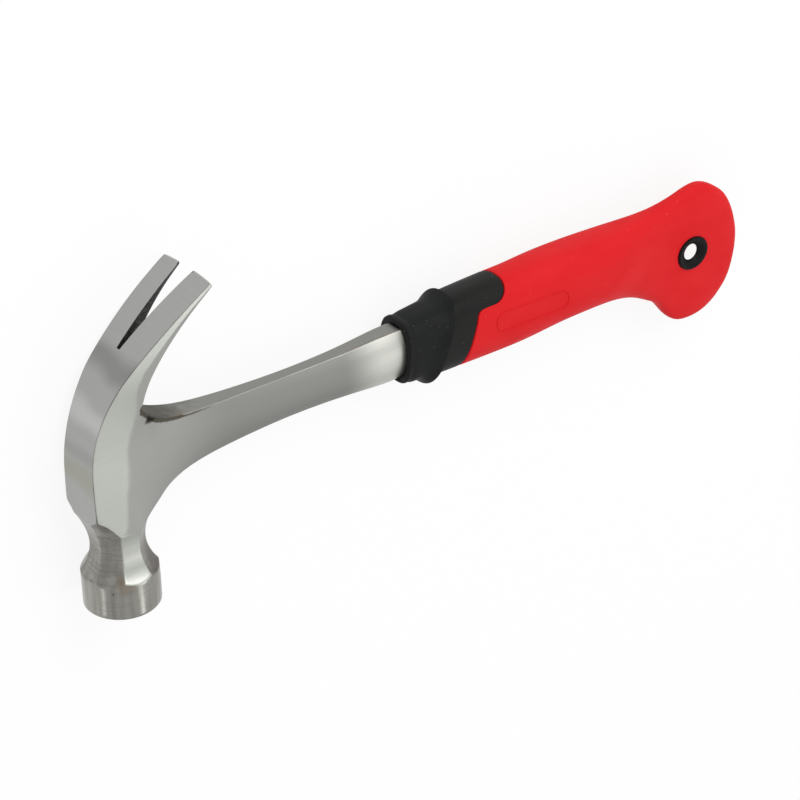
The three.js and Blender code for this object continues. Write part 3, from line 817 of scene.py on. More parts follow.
@dataclass
class Forging:
    """Poll, octagonal neck, cheeks, claws, shank and tang, pulled out of one grid. Sizes are in mm."""

    cells: int = 8
    poll_radius: float = 14.0
    face_bevel: float = 0.7
    poll_length: float = 14.0
    poll_rings: tuple[float, ...] = (4.5, 9.5)
    neck_axis: float = -0.2
    neck_reach: float = 9.0
    neck_height: float = 26.0
    neck_shares: tuple[float, ...] = (0.0, 0.07, 0.2, 0.34, 0.48, 0.62, 0.75, 0.87, 0.95, 1.0)
    shoulder_height: float = 42.4
    shoulder_dip: float = 0.5
    head_front: float = 13.4
    head_half: float = 10.0
    crotch: Pair = (7.2, 80.8)
    bend_centre: Pair = (39.6, 57.5)
    bend_radius: float = 53.0
    claw_radius: float = 190.0
    claw_centre: Pair = (136.47, -39.37)
    bend_angle: float = 45.0
    crotch_angle: float = 36.6
    claw_length: float = 42.35
    claw_control: Pair = (9.65, 99.5)
    tip_thickness: float = 1.2
    tip_round: float = 0.7
    tip_skew: float = 0.25
    slot_length: float = 36.5
    slot_middle: float = -1.35
    slot_half: Pair = (0.8, 4.1)
    slot_flare: float = 0.6
    slot_columns: float = 0.25
    tang_reach: float = 236.2
    side_bow: float = 2.4
    rim_points: int = 33
    # Where along the shank the wear and painted highlight on the spine's edges begins
    wear_and_highlight_start: float = 26.0
    crease_angle: float = 24.0
    crease: float = 0.7
    smooth_angle: float = 38.0
    # Flats of the neck that face the side by more than this many degrees are brushed like the cheeks
    cheek_turn: float = 67.5
    # Where the neck starts to run out on the shoulder, and how far round its side the shoulder stays soft
    run_out: float = 0.5
    soft_side: float = 0.45
    # How far back the polish goes on the sections from the shoulder to the tips, and how soon it ends there
    polish_rows: tuple[float, ...] = (0.36, 0.6, 0.84, 0.92, 0.88, 0.82, 0.7, 0.6, 0.5, 0.65)
    polish_end: float = 1.5
    # Where along the shank the brush missed the hollow of its top, and how much of it
    missed_at: tuple[float, ...] = (8, 24, 48)
    missed_share: tuple[float, ...] = (1.0, 0.9, 0.4)
    # Sections up the cheeks: heights where the strip is upright, then angles round its bend
    upright_ribs: tuple[float, ...] = (44.5, 48.0, 54.0)
    bent_ribs: tuple[float, ...] = (2.7, 10.5, 19.0, 28.0)
    # Sections from the crotch to the slot, by their distance, and along the slot, by their share of it
    fork_steps: tuple[float, ...] = (3.5, 7.0, 10.2, 12.4)
    prong_steps: tuple[float, ...] = (0.04, 0.14, 0.27, 0.41, 0.55, 0.69, 0.82, 0.92, 0.98, 1.0)
    # Sections along the shank: bottom and top of those that lean by the head, then the upright ones
    leaning_stations: tuple[Pair, ...] = (
        (14.2, 9.2), (15.9, 11.0), (17.8, 13.4), (20.0, 16.5), (23.2, 20.5), (28, 26.5), (35, 34.5),
    )
    stations: tuple[float, ...] = (44, 56, 70, 84, 97, 108, 116, 121, 130, 138.1, 160, 200, 232)
    ridge: tuple[Pair, ...] = (
        (2.6, 40), (1.0, 45.5), (1.3, 51.5), (2.0, 57.5), (2.8, 63.5), (3.9, 69.5), (5.5, 75.5),
    )
    strip_half: SmoothLine = smooth_through(
        (42, 10.25), (58, 9.65), (70, 9.15), (82, 9.8), (95, 11.45), (109, 13.3), (121, 14.25),
    )
    shank_top: SmoothLine = smooth_through(
        (8, 80.2), (9.6, 77.0), (11.6, 74.5), (14, 72.55), (17, 71.0), (21, 69.75), (27, 68.45), (36, 67.6),
        (50, 67.05), (75, 66.9), (98, 67.6), (110, 68.7), (120.5, 69.2), (138.1, 68.2), (236.2, 68.2),
    )
    shank_bottom: SmoothLine = smooth_through(
        (12.7, 38.6), (17, 42.2), (22, 44.9), (28, 46.8), (36, 48.1), (50, 49.1), (75, 50.1), (98, 49.8),
        (120.5, 49.4), (138.1, 54.2), (236.2, 54.2),
    )
    shank_half: SmoothLine = smooth_through(
        (8, 9.1), (12, 8.1), (17, 7.25), (24, 6.4), (34, 5.7), (50, 5.25), (75, 5.0), (98, 5.8), (120.5, 7.0),
        (138.1, 3.5), (236.2, 3.5),
    )
    flat_half: SmoothLine = smooth_through(
        (8, 9.0), (12, 7.2), (17, 5.9), (25, 4.7), (45, 3.2), (75, 2.3), (100, 2.9), (120.5, 3.6),
        (138.1, 2.6), (236.2, 2.6),
    )
    # What is being built: the piece, its last section, and the sections at the poll's end, the shoulder, the
    # crotch and the nail slot
    piece: Workpiece = field(init=False, repr=False)
    level: int = field(init=False, default=0)
    marks: dict[str, int] = field(init=False, default_factory=dict)

    def arc_radius(self, rise: float, reach: float) -> float:
        """The radius of the neck's arc, from its rise off the waist and the flats' reach at its end."""
        out = reach - self.neck_reach
        return (rise ** 2 + out ** 2) / (2 * out)

    def neck_flat(self, y: Array, rise: float, reach: float) -> Array:
        """How far the neck's flats stand from its axis at heights, on an arc of that rise and reach."""
        radius = self.arc_radius(rise, reach)
        return self.neck_reach + radius - np.sqrt(np.maximum(radius ** 2 - (y - self.neck_height) ** 2, 0))

    def neck_rise(self, flat: Array | float, rise: float, reach: float) -> Array:
        """The height at which the flats have a reach: the other way round from neck_flat."""
        radius = self.arc_radius(rise, reach)
        drop = radius - (np.asarray(flat, float) - self.neck_reach)
        return self.neck_height + math.copysign(1, rise) * np.sqrt(np.maximum(radius ** 2 - drop ** 2, 0))

    @property
    def lower_arc(self) -> Pair:
        """Rise and reach of the neck's arc down to the poll."""
        return self.poll_length - self.neck_height, self.poll_radius

    @property
    def upper_arc(self) -> Pair:
        """Rise and reach of the neck's arc up to the shoulders."""
        reach = (self.head_front + self.neck_axis + self.head_half) / math.sqrt(2)
        return self.shoulder_height - self.neck_height, reach

    @property
    def bend_run(self) -> float:
        """How far the strip runs round its bend past the crotch."""
        return self.bend_radius * math.radians(self.bend_angle - self.crotch_angle)

    @property
    def slot_start(self) -> float:
        """How far the nail slot's end lies past the crotch."""
        return self.bend_run + self.claw_length - self.slot_length

    @staticmethod
    def ring(u: Array, v: Array) -> Array:
        """The angle round the head of a place on the rim of the grid, from the front towards +z."""
        quarter = math.pi / 4
        angle = np.where(v <= -1, u * quarter, math.pi - u * quarter)
        side = np.abs(v) < 1
        return np.where(side, np.sign(u) * (2 * quarter + v * quarter), angle)

    @staticmethod
    def to_rim(u: Array, v: Array) -> tuple[Array, Array]:
        """Draws places inside the grid out to its rim."""
        rim = np.maximum(np.abs(u), np.abs(v)) >= 1
        return np.where(rim, u, np.sign(u)), np.where(rim, v, np.sign(v))

    def poll_section(self, u: Array, v: Array, y: float, radius: float) -> Array:
        """A round section of the poll, with the grid's inside spread over it."""
        share = np.maximum(np.abs(u), np.abs(v))
        safe = np.where(share > 0, share, 1)
        angle = self.ring(u / safe, v / safe)
        out = radius * share
        return np.stack([-out * np.cos(angle), np.full_like(u, y), out * np.sin(angle)], 1)

    def shoulder(self, u: Array, v: Array) -> Array:
        """Where the neck's flats run out on the strip, the cheeks and the root of the shank.

        Args:
            u: places across the grid, from -1 to 1.
            v: places from the front to the rear, from -1 to 1.

        Returns:
            The places round the shoulder, for one half mirrored to the other.
        """

        def rise(flat: float) -> float:
            """The height at which the flats have a reach."""
            return float(self.neck_rise(flat, *self.upper_arc))

        front, half, axis = -self.head_front, self.head_half, self.neck_axis
        reach = axis - front
        eighth = math.tan(math.pi / 8)
        low, corner, scallop = rise(reach), reach * eighth, 7.8
        side, cheek, rear = rise(half), half * eighth, 9.0
        places = np.array([
            (front, low, 0), (front, low, corner / 2), (front, low, corner),
            (front, rise((reach + scallop) / math.sqrt(2)), scallop), (front, self.shoulder_height, half),
            (-rear, rise((rear + axis + half) / math.sqrt(2)), half), (axis - cheek, side, half),
            (-2.2, side, half), (axis, side, half), (1.9, side, half), (axis + cheek, side + 0.2, half),
            (5.0, side + 1.6, half - 0.1), (6.6, 36.0, 9.4), (10.3, 37.4, 7.9), (12.3, 38.2, 5.2),
            (12.6, 38.4, 2.6), (12.7, 38.5, 0),
        ])
        turn = np.abs(self.ring(u, v))
        turns = np.linspace(0, math.pi, len(places))
        x, y, z = (np.interp(turn, turns, column) for column in places.T)
        return np.stack([x, y, np.sign(u) * z], 1)

    def neck_section(self, u: Array, v: Array, share: float) -> Array:
        """An octagonal section of the neck.

        Args:
            u: places across the grid.
            v: places from the front to the rear.
            share: 0 where the flats run out on the poll, 1 at the shoulder.

        Returns:
            The section's places.
        """
        u, v = self.to_rim(u, v)
        angle = self.ring(u, v)
        eighth = math.pi / 4
        facing = np.rint(angle / eighth) * eighth
        turn = angle - facing
        start = self.neck_rise(self.poll_radius * np.cos(turn), *self.lower_arc)
        end = self.shoulder(u, v)
        y = start + (end[:, 1] - start) * share
        low, high = (self.neck_flat(y, *arc) for arc in (self.lower_arc, self.upper_arc))
        flat = np.where(y < self.neck_height, low, high)
        outward = np.stack([-np.cos(facing), np.sin(facing)], 1)
        along = np.stack([np.sin(facing), np.cos(facing)], 1)
        offset = end[:, [0, 2]] - np.array([self.neck_axis, 0])
        last_flat = np.maximum((offset * outward).sum(1), 1)
        last_slope = (offset * along).sum(1) / last_flat
        blend = eased(share)
        slope = np.tan(turn) * (1 - blend) + last_slope * blend
        plan = flat[:, None] * (outward + slope[:, None] * along)
        on_flats = np.stack([plan[:, 0] + self.neck_axis, y, plan[:, 1]], 1)
        late = max((share - self.run_out) / (1 - self.run_out), 0) ** 2
        return on_flats * (1 - late) + end * late

    def outer(self, angle: float) -> Array:
        """A place on the outer curve of the strip, by its angle from upright."""
        bent = angle <= self.bend_angle
        centre = self.bend_centre if bent else self.claw_centre
        radius = self.bend_radius if bent else self.claw_radius
        turn = math.radians(angle)
        return np.array([centre[0] - radius * math.cos(turn), centre[1] + radius * math.sin(turn)])

    def claw_line(self, distance: float) -> tuple[Array, Array]:
        """Outer and inner place of a section of the claws.

        Args:
            distance: along the outer curve from the section through the crotch.

        Returns:
            The two places, x and y.
        """
        if distance <= self.bend_run:
            angle = self.crotch_angle + math.degrees(distance / self.bend_radius)
        else:
            angle = self.bend_angle + math.degrees((distance - self.bend_run) / self.claw_radius)
        last = self.bend_angle + math.degrees(self.claw_length / self.claw_radius)
        turn = math.radians(last)
        tip = self.outer(last) + self.tip_thickness * np.array([math.cos(turn), -math.sin(turn)])
        s = distance / (self.bend_run + self.claw_length)
        start, control = np.array(self.crotch), np.array(self.claw_control)
        return self.outer(angle), (1 - s) ** 2 * start + 2 * s * (1 - s) * control + s * s * tip

    def slab(self, u: Array, v: Array, outer: Array, inner: Array,
             slot_share: float = 0.0, slot_run: float = 0.0) -> Array:
        """A section of the cheeks or claws between its outer and inner place.

        Args:
            u: places across, from -1 to 1.
            v: places from the outer to the inner side.
            outer: x and y on the strip.
            inner: x and y on the other side.
            slot_share: how far the columns have closed in on the nail slot.
            slot_run: how far past the slot's end the section lies, from 0 to 1.

        Returns:
            The section's places.
        """
        deep = (v + 1) / 2
        plan = outer[None, :] * (1 - deep[:, None]) + inner[None, :] * deep[:, None]
        half = float(self.strip_half(outer[1]))
        edge = self.slot_half[0] + (self.slot_half[1] - self.slot_half[0]) * slot_run
        edge = edge + self.slot_flare * slot_run ** 3 * deep * float(np.linalg.norm(outer - inner))
        middle = self.slot_middle + u / self.slot_columns * edge
        side = np.sign(u)
        beyond = self.slot_middle + side * edge
        rest = (np.abs(u) - self.slot_columns) / (1 - self.slot_columns)
        outside = beyond + (side * half - beyond) * rest
        slotted = np.where(np.abs(u) <= self.slot_columns + 1e-6, middle, outside)
        z = u * half * (1 - slot_share) + slotted * slot_share
        return np.stack([plan[:, 0], plan[:, 1], z], 1)

    def rib(self, u: Array, v: Array, outer: Array, inner: Array, dip: float) -> Array:
        """A section of the cheeks, drawn down to the shoulder by a share."""
        return self.slab(u, v, outer, inner) * (1 - dip) + self.shoulder(*self.to_rim(u, v)) * dip

    def prong(self, u: Array, v: Array, run: float) -> Array:
        """A section of the two claws beside the nail slot, their ends rounded across and a little askew."""
        distance = self.slot_start + run * self.slot_length
        outer, inner = self.claw_line(distance)
        places = self.slab(u, v, outer, inner, 1.0, run)
        before, _ = self.claw_line(distance - 1)
        ahead = (outer - before) / np.linalg.norm(outer - before)
        beside = places[:, 2] / self.strip_half(outer[1])
        pull = (self.tip_round * beside ** 2 - self.tip_skew * beside) * run ** 3
        places[:, :2] -= ahead[None, :] * pull[:, None]
        return places

    def shank_section(self, across: Array, row: Array, low_x: float, high_x: float) -> Array:
        """A section of the shank, with flats above and below and bowed sides.

        Args:
            across: from -1 to 1.
            row: from 0 at the bottom to 1 at the top.
            low_x: where the section's bottom is.
            high_x: where its top is.

        Returns:
            The section's places.
        """
        x = low_x + (high_x - low_x) * row
        bottom, top = self.shank_bottom(low_x), self.shank_top(high_x)
        y = bottom + (top - bottom) * row
        flat, half = self.flat_half(x), self.shank_half(x)
        bow = 1 - np.abs(2 * row - 1) ** self.side_bow
        reach = flat + (np.maximum(half, flat) - flat) * bow
        return np.stack([x, y, across * reach], 1)

    def rim(self, x: float, angle: Array, gap: float) -> Array:
        """The outline of the shank's section, let out by a gap.

        Args:
            x: where the section is.
            angle: round the shank's middle, from +z towards +y.
            gap: how far outside the steel.

        Returns:
            The places.
        """
        row = np.linspace(0, 1, self.rim_points)
        side = self.shank_section(np.ones_like(row), row, x, x)
        outline = np.concatenate([side[:, 1:], side[::-1, 1:] * np.array([1, -1])])
        middle = (self.shank_top(x) + self.shank_bottom(x)) / 2
        turn = np.arctan2(outline[:, 0] - middle, outline[:, 1])
        turn = np.where(turn < -math.pi / 2, turn + 2 * math.pi, turn)
        order = np.argsort(turn)
        reach = np.hypot(outline[:, 0] - middle, outline[:, 1])[order]
        radius = np.interp(angle, turn[order], reach, period=2 * math.pi) + gap
        return np.stack([np.full_like(angle, x), middle + radius * np.sin(angle), radius * np.cos(angle)], 1)

    def grid_places(self, chosen: Array) -> tuple[Array, Array]:
        """Places on the grid, from -1 to 1, of the chosen vertices."""
        across, deep = (self.piece.labels(name)[chosen] for name in ("across", "deep"))
        return across / (self.cells / 2) - 1, deep / (self.cells / 2) - 1

    def raise_cap(self, section: Callable[..., Array], *sizes: Any) -> None:
        """Extrudes the selected faces to the next section.

        Args:
            section: gives the section's places from those on the grid and the sizes.
            sizes: what else it needs.
        """
        new = self.piece.extrude_faces()
        self.level += 1
        levels = self.piece.labels("level")
        levels[new] = self.level
        self.piece.label("level", levels)
        self.piece.move(new, section(*self.grid_places(new), *sizes))

    def pull_poll(self) -> None:
        """Rounds the grid to the striking face and pulls the poll and the neck out of it."""
        face = self.grid_places(np.ones(len(self.piece.mesh.vertices), bool))
        self.piece.move_all(self.poll_section(*face, 0.0, self.poll_radius - self.face_bevel))
        self.piece.select_faces(lambda corners: True)
        # The subdivision draws the ring's corners in to (2 + cos) / 3 of their radius
        turn = 2 * math.pi / (4 * self.cells)
        radius = self.poll_radius * (3 / (2 + math.cos(turn)))
        for y in (self.face_bevel, *self.poll_rings):
            self.raise_cap(self.poll_section, y, radius)
        self.marks["poll"] = self.level + 1
        for share in self.neck_shares:
            self.raise_cap(self.neck_section, share)
        self.marks["shoulder"] = self.level

    def pull_claws(self) -> None:
        """Pulls the cheeks up to the crotch, and the claws on past the end of the nail slot."""
        outers = [np.array([-self.head_front, y]) for y in self.upright_ribs]
        outers += [self.outer(angle) for angle in (*self.bent_ribs, self.crotch_angle)]
        dip = self.shoulder_dip
        for outer, inner in zip(outers, (*self.ridge, self.crotch)):
            self.raise_cap(self.rib, outer, np.array(inner), dip)
            dip = 0.0
        self.marks["crotch"] = self.level
        for distance in (*self.fork_steps, self.slot_start):
            self.raise_cap(self.slab, *self.claw_line(distance), distance / self.slot_start)
        self.marks["slot"] = self.level
        near = self.cells // 2 - 1
        across, levels = (self.piece.labels(name) for name in ("across", "level"))
        self.piece.select_faces(lambda corners: bool(
            (levels[corners] == self.level).all()
            and ((across[corners] <= near).all() or (across[corners] >= self.cells - near).all())
        ))
        for run in self.prong_steps:
            self.raise_cap(self.prong, run)

    def pull_shank(self) -> None:
        """Pulls the shank and the tang out of the rear of the cheeks."""
        foot, fork = self.marks["shoulder"], self.marks["crotch"]
        deep, levels = (self.piece.labels(name) for name in ("deep", "level"))
        self.piece.select_faces(lambda corners: bool(
            (deep[corners] == self.cells).all()
            and (levels[corners] >= foot).all()
            and (levels[corners] <= fork).all()
        ))
        upright = [(x, x) for x in (*self.stations, self.tang_reach)]
        for low_x, high_x in (*self.leaning_stations, *upright):
            new = self.piece.extrude_faces()
            row = (self.piece.labels("level")[new] - foot) / (fork - foot)
            side, _ = self.grid_places(new)
            self.piece.move(new, self.shank_section(side, row, low_x, high_x))

    def zone(self, corners: Array, across: Array, deep: Array, level: Array) -> SteelFace:
        """The finish of a face.

        Args:
            corners: places of its corners.
            across: their columns.
            deep: their rows from the front.
            level: their sections up the head.

        Returns:
            The finish.
        """
        foot, slot = self.marks["shoulder"], self.marks["slot"]
        if (level < foot).any():
            if (level <= self.marks["poll"]).all():
                return SteelFace.POLL
            middle = corners.mean(0)
            turn = math.degrees(math.atan2(abs(middle[2]), abs(middle[0] - self.neck_axis)))
            return SteelFace.BRUSHED if turn > self.cheek_turn else SteelFace.NECK
        if (deep == 0).all():
            return SteelFace.STRIP
        edges = (self.cells // 2 - 1, self.cells // 2 + 1)
        wall = any((across == edge).all() for edge in edges) and (level >= slot).all()
        end = (level == slot).all() and (across >= edges[0]).all() and (across <= edges[1]).all()
        if wall or end:
            return SteelFace.SLOT
        flat = (level == self.marks["crotch"]).all() or (level == foot).all()
        return SteelFace.SPINE if flat and (deep == self.cells).all() else SteelFace.BRUSHED

    def mark(self) -> None:
        """Gives each face its finish, paints what the finishes read, and creases the edges."""
        piece, top = self.piece, self.level
        foot, fork, slot = (self.marks[name] for name in ("shoulder", "crotch", "slot"))
        across, deep, levels = (piece.labels(name) for name in ("across", "deep", "level"))
        places = piece.millimetres()
        for face in piece.mesh.polygons:
            corners = np.array(face.vertices)
            finish = self.zone(places[corners], across[corners], deep[corners], levels[corners])
            face.material_index = finish.value
        rim = (across == 0) | (across == self.cells)
        piece.paint("edge", rim & (deep == 0) & (levels >= foot))
        sections = [foot, foot + 1, foot + 2, foot + 3, fork - 1, fork, fork + 1, fork + 2, slot, top]
        bound = np.interp(levels, sections, self.polish_rows)
        behind = np.clip(0.5 + self.polish_end * (deep / self.cells - bound), 0, 1)
        piece.paint("behind", np.where(levels < foot, 0, behind))
        spine = (levels == fork) & (deep == self.cells)
        tips = (levels == top) & (deep == 0)
        # The claws' tips are worn bright; along the spine's edges this is wear and a painted highlight
        piece.paint("wear_and_highlight", tips | (spine & rim & (places[:, 0] > self.wear_and_highlight_start)))
        piece.paint("hollow", spine * np.interp(places[:, 0], self.missed_at, self.missed_share))
        beside = np.abs(places[:, 0] - self.neck_axis) < self.soft_side * np.abs(places[:, 2])
        soft = (levels == foot) & beside & (deep < self.cells)
        piece.crease_by_angle(self.crease_angle, self.crease, soft | (levels >= top - 1))

    def build(self, materials: Sequence[Material]) -> Body:
        """Pulls the forging out of a grid and dresses it."""
        self.piece = Workpiece("forged_steel").start_grid(self.cells)
        self.pull_poll()
        self.pull_claws()
        self.pull_shank()
        self.piece.settle()
        self.mark()
        self.piece.subdivide(2)
        return self.piece.finish(materials, self.smooth_angle, "forged_steel", "forged_head_shank")


@dataclass
class Grip:
    """Boot, band, skin and bush along the handle. Sizes are in mm."""

    sides: int = 64
    axis: float = 61.2
    front: float = 138.4
    reach: float = 290.9
    butt_start: float = 242.2
    hollow_back: float = 20.0
    hollow_height: float = 30.0
    half_height: float = 15.5
    crown: float = 1.5
    butt_rise: float = 21.4
    hook_drop: float = 36.2
    lean: float = 0.36
    boot_front: float = 118.4
    boot_rear: float = 138.1
    boot_lip: float = 2.4
    band_reach: float = 149.0
    seam_lean: float = 1.9
    seam: float = 0.35
    tongue_reach: float = 166.8
    tongue_round: float = 7.0
    tongue_edge: float = 69.2
    tongue_power: float = 2.7
    corner_turn: float = 0.09
    corner_lift: float = 1.1
    skin_join: float = 182.0
    frame_box: tuple[float, float, float, float] = (160.4, 194.6, 57.6, 65.4)
    frame_corner: float = 3.4
    frame_bead: float = 0.28
    hole: Pair = (264.4, 55.8)
    bush_radius: float = 7.0
    bush_throat: float = 3.4
    bush_gap: float = 0.03
    bush_oval: float = 0.1
    dish_radius: float = 14.6
    butt_half: float = 5.0
    least_half: float = 0.2
    smooth_angle: float = 60.0
    hole_angle: float = 40.0
    hole_sides: int = 96
    # How far through the butt the straight bore and the dish in its back are cut
    bore_span: Pair = (-8.0, 8.0)
    dish_span: Pair = (-5.6, 0.6)
    # How finely the seam is followed before its columns are spaced out along it
    seam_samples: int = 400
    # Sections of the skin, closer together towards the end of the butt: up to where, and how many
    skin_runs: tuple[tuple[float, int], ...] = ((222, 8), (262, 14), (280, 7), (288, 6))
    last_sections: Pair = (289.6, 290.5)
    # The outline along the handle: its top and bottom, half its width, how square it is and its lean
    top: SmoothLine = field(init=False, repr=False)
    bottom: SmoothLine = field(init=False, repr=False)
    half: SmoothLine = field(init=False, repr=False)
    squareness: SmoothLine = field(init=False, repr=False)
    leaning: SmoothLine = field(init=False, repr=False)

    def __post_init__(self) -> None:
        """Draws the grip's outline."""
        hollow = self.butt_start - self.hollow_back

        def straight(share: float) -> float:
            """A section between the grip's front and its hollow."""
            return self.front + share * (hollow - self.front)

        def butt(share: float) -> float:
            """A section along the butt."""
            return self.butt_start + share * (self.reach - self.butt_start)

        roof, floor = self.axis + self.half_height, self.axis - self.half_height
        self.top = SmoothLine([
            *((straight(share), roof + height * self.crown) for share, height in (
                (0, -1.1), (0.28, -0.38), (0.45, -0.12), (0.6, 0.45), (1, 0.6),
            )),
            *((butt(share), self.axis + height * self.butt_rise) for share, height in (
                (0.083, 0.818), (0.31, 0.925), (0.458, 1.022), (0.583, 1.032), (0.75, 0.845), (0.875, 0.555),
                (0.958, 0.12),
            )),
            (self.reach, self.axis - 6),
        ])
        self.bottom = SmoothLine([
            *((straight(share), floor + height * self.crown) for share, height in (
                (0, -0.4), (0.45, -0.2), (0.72, 1.25),
            )),
            (hollow, roof + 0.4 * self.crown - self.hollow_height),
            *((butt(share), self.axis - depth * self.hook_drop) for share, depth in (
                (-0.146, 0.472), (0.031, 0.592), (0.156, 0.695), (0.26, 0.878), (0.365, 0.99), (0.49, 1.024),
                (0.677, 0.984), (0.823, 0.845), (0.9375, 0.606), (1, 0.25),
            )),
        ])
        self.half = SmoothLine([
            (self.front, 10.7), (straight(0.5), 11.5), (straight(0.92), 11.5), (butt(0.125), 5.5),
            (butt(0.25), 5.0), (butt(0.75), 5.0), (butt(0.917), 4.1), (butt(0.975), 2.9), (self.reach, 1.4),
        ])
        self.squareness = SmoothLine([(self.front, 2.6), (hollow, 2.6), (butt(0.25), 3.1), (self.reach, 3.0)])
        self.leaning = SmoothLine([(self.front, self.lean), (straight(0.4), 0), (hollow, 0), (self.reach, 0)])

    def surface(self, x: Array, angle: Array, shrink: float = 0.0) -> Array:
        """Places on the grip's outside.

        Args:
            x: sections along the handle.
            angle: round the section, from +z towards +y.
            shrink: how far inside the outside.

        Returns:
            The places.
        """
        power = 2 / self.squareness(x)
        top, bottom = self.top(x) - shrink, self.bottom(x) + shrink
        y = (top + bottom) / 2 + (top - bottom) / 2 * squared(np.sin(angle), power)
        z = np.maximum(self.half(x) - shrink, self.least_half) * squared(np.cos(angle), power)
        return np.stack([x + self.leaning(x) * (y - self.axis), y, z], 1)

    def around(self) -> Array:
        """Even angles round a section, starting at the bottom."""
        return np.linspace(-math.pi / 2, 1.5 * math.pi, self.sides, endpoint=False)

    def seam_line(self) -> tuple[Array, Array]:
        """The line between the black band with its tongue and the red skin.

        Returns:
            Section and angle of each column, evenly spaced along the line.
        """
        fine = np.linspace(-math.pi / 2, math.pi / 2, self.seam_samples)
        height = self.surface(np.full_like(fine, self.band_reach), fine)[:, 1]
        turn = np.interp(self.tongue_edge, height, fine)
        below = fine[fine < turn]
        rise = (height[fine < turn] - height[0]) / (self.tongue_edge - height[0])
        corner = np.clip((turn - below) / self.corner_turn, 0, 1)
        lean = self.band_reach + self.seam_lean * rise
        lower = list(zip(lean + self.corner_lift * (1 - corner) ** 2, below))
        first = self.band_reach + self.seam_lean + self.corner_lift
        start = self.tongue_reach - self.tongue_round
        side = [(x, turn) for x in np.linspace(first, start, self.seam_samples // 10)]
        share = np.linspace(0, 1, self.seam_samples // 5)
        bow = np.sqrt(1 - (1 - share) ** self.tongue_power)
        tip = [(start + self.tongue_round * b, turn + (math.pi / 2 - turn) * s) for s, b in zip(share, bow)]
        line = np.array(lower + side[1:] + tip[1:])
        places = self.surface(line[:, 0], line[:, 1])
        run = np.concatenate([[0], np.cumsum(np.linalg.norm(np.diff(places, axis=0), axis=1))])
        wanted = np.linspace(0, run[-1], self.sides // 2 + 1)
        x, angle = (np.interp(wanted, run, column) for column in line.T)
        return np.concatenate([x, x[-2:0:-1]]), np.concatenate([angle, math.pi - angle[-2:0:-1]])

    def build_boot(self, material: Material, shank: Forging) -> Body:
        """Models the boot: front lip, hollow waist and flared guard ridge, with a bore for the shank.

        Args:
            material: its finish.
            shank: the forging that it is moulded round.

        Returns:
            The boot.
        """
        angle, start, lip = self.around(), self.boot_front, self.boot_lip
        lean = SmoothLine([(lip, 0.07), (18.3, self.lean), (19.7, self.lean)])
        corners = SmoothLine([(0, 3.4), (9, 2.9), (18.3, 2.6), (19.7, 2.6)])
        top = SmoothLine([
            (lip, 71.5), (4.2, 71.7), (9, 72.5), (13, 73.2), (15.5, 73.6), (17.2, 74.4), (18.6, 75.7),
            (19.4, 76.5),
        ])
        bottom = SmoothLine([
            (lip, 47.2), (4.2, 46.8), (9, 46.0), (13, 45.9), (15.5, 44.9), (17.2, 44.0), (18.6, 43.2),
            (19.4, 42.8),
        ])
        half = SmoothLine([
            (lip, 9.6), (4.2, 9.7), (9, 9.8), (13, 10.2), (15.5, 10.8), (17.2, 11.5), (19.4, 12.5),
        ])

        def section(step: float, edge: float) -> Array:
            """A section of the boot, a step behind its front and edge mm inside its outline."""
            power = 2 / corners(step)
            high, low = top(step) - edge, bottom(step) + edge
            y = (high + low) / 2 + (high - low) / 2 * squared(np.sin(angle), power)
            z = (half(step) - edge) * squared(np.cos(angle), power)
            return np.stack([start + step + lean(step) * (y - self.axis), y, z], 1)

        front = start + lip
        piece = Workpiece("rubber_boot").start_ring(shank.rim(front + 4, angle, -0.6))
        for x, gap in ((front + 0.9, -0.1), (front + 0.45, -0.02), (front + 0.35, 0.2)):
            piece.extrude_ring(shank.rim(x, angle, gap))
        lip_steps = (
            (0.05, 0.9), (0, 0.55), (0.1, 0.4), (0.45, 0.05), (0.6, 0), (1.6, 0), (1.8, 0.1), (2.3, 0.4),
            (2.8, 0.4),
        )
        waist_steps = (8, 10, 12.5, 14, 15.2, 16.2, 17.1, 17.9, 18.6, 19.15)
        for step, edge in (
            *((lip + step, edge) for step, edge in lip_steps),
            (6.5, 0.15),
            *((step, 0.0) for step in waist_steps),
            (19.45, 0.1), (19.6, 0.4), (19.7, 1.2), (19.7, 4.5), (self.boot_rear - start - 4, 6.0),
        ):
            piece.extrude_ring(section(step, edge))
        piece.close_bore()
        piece.settle()
        piece.subdivide(1)
        return piece.finish([material], self.smooth_angle, "boot_rubber", "front_boot")

    def build_band(self, material: Material) -> Body:
        """Models the black band with its thumb tongue, and the front of the core inside it."""
        seam_x, seam_angle = self.seam_line()
        even = self.around()
        front = np.full(self.sides, self.front)
        rounding = 0.6
        piece = Workpiece("core_band").start_ring(self.surface(front, even, 3.0))
        for shrink, step in ((0.6, 0.0), (0.15, 0.15), (0.0, rounding)):
            piece.extrude_ring(self.surface(front + step, even, shrink))
        for share in (0.2, 0.4, 0.6, 0.8, 0.93):
            angle = even + (seam_angle - even) * share
            x = front + rounding + (seam_x - self.seam - front - rounding) * share
            piece.extrude_ring(self.surface(x, angle))
        for shrink, back in ((0.0, 0.5), (0.12, 0.15), (0.45, 0.0), (2.6, 0.0)):
            piece.extrude_ring(self.surface(seam_x - self.seam / 2 - back, seam_angle, shrink))
        piece.close_bore()
        piece.settle()
        piece.subdivide(1)
        return piece.finish([material], self.smooth_angle, "core_plastic", "grip_core")

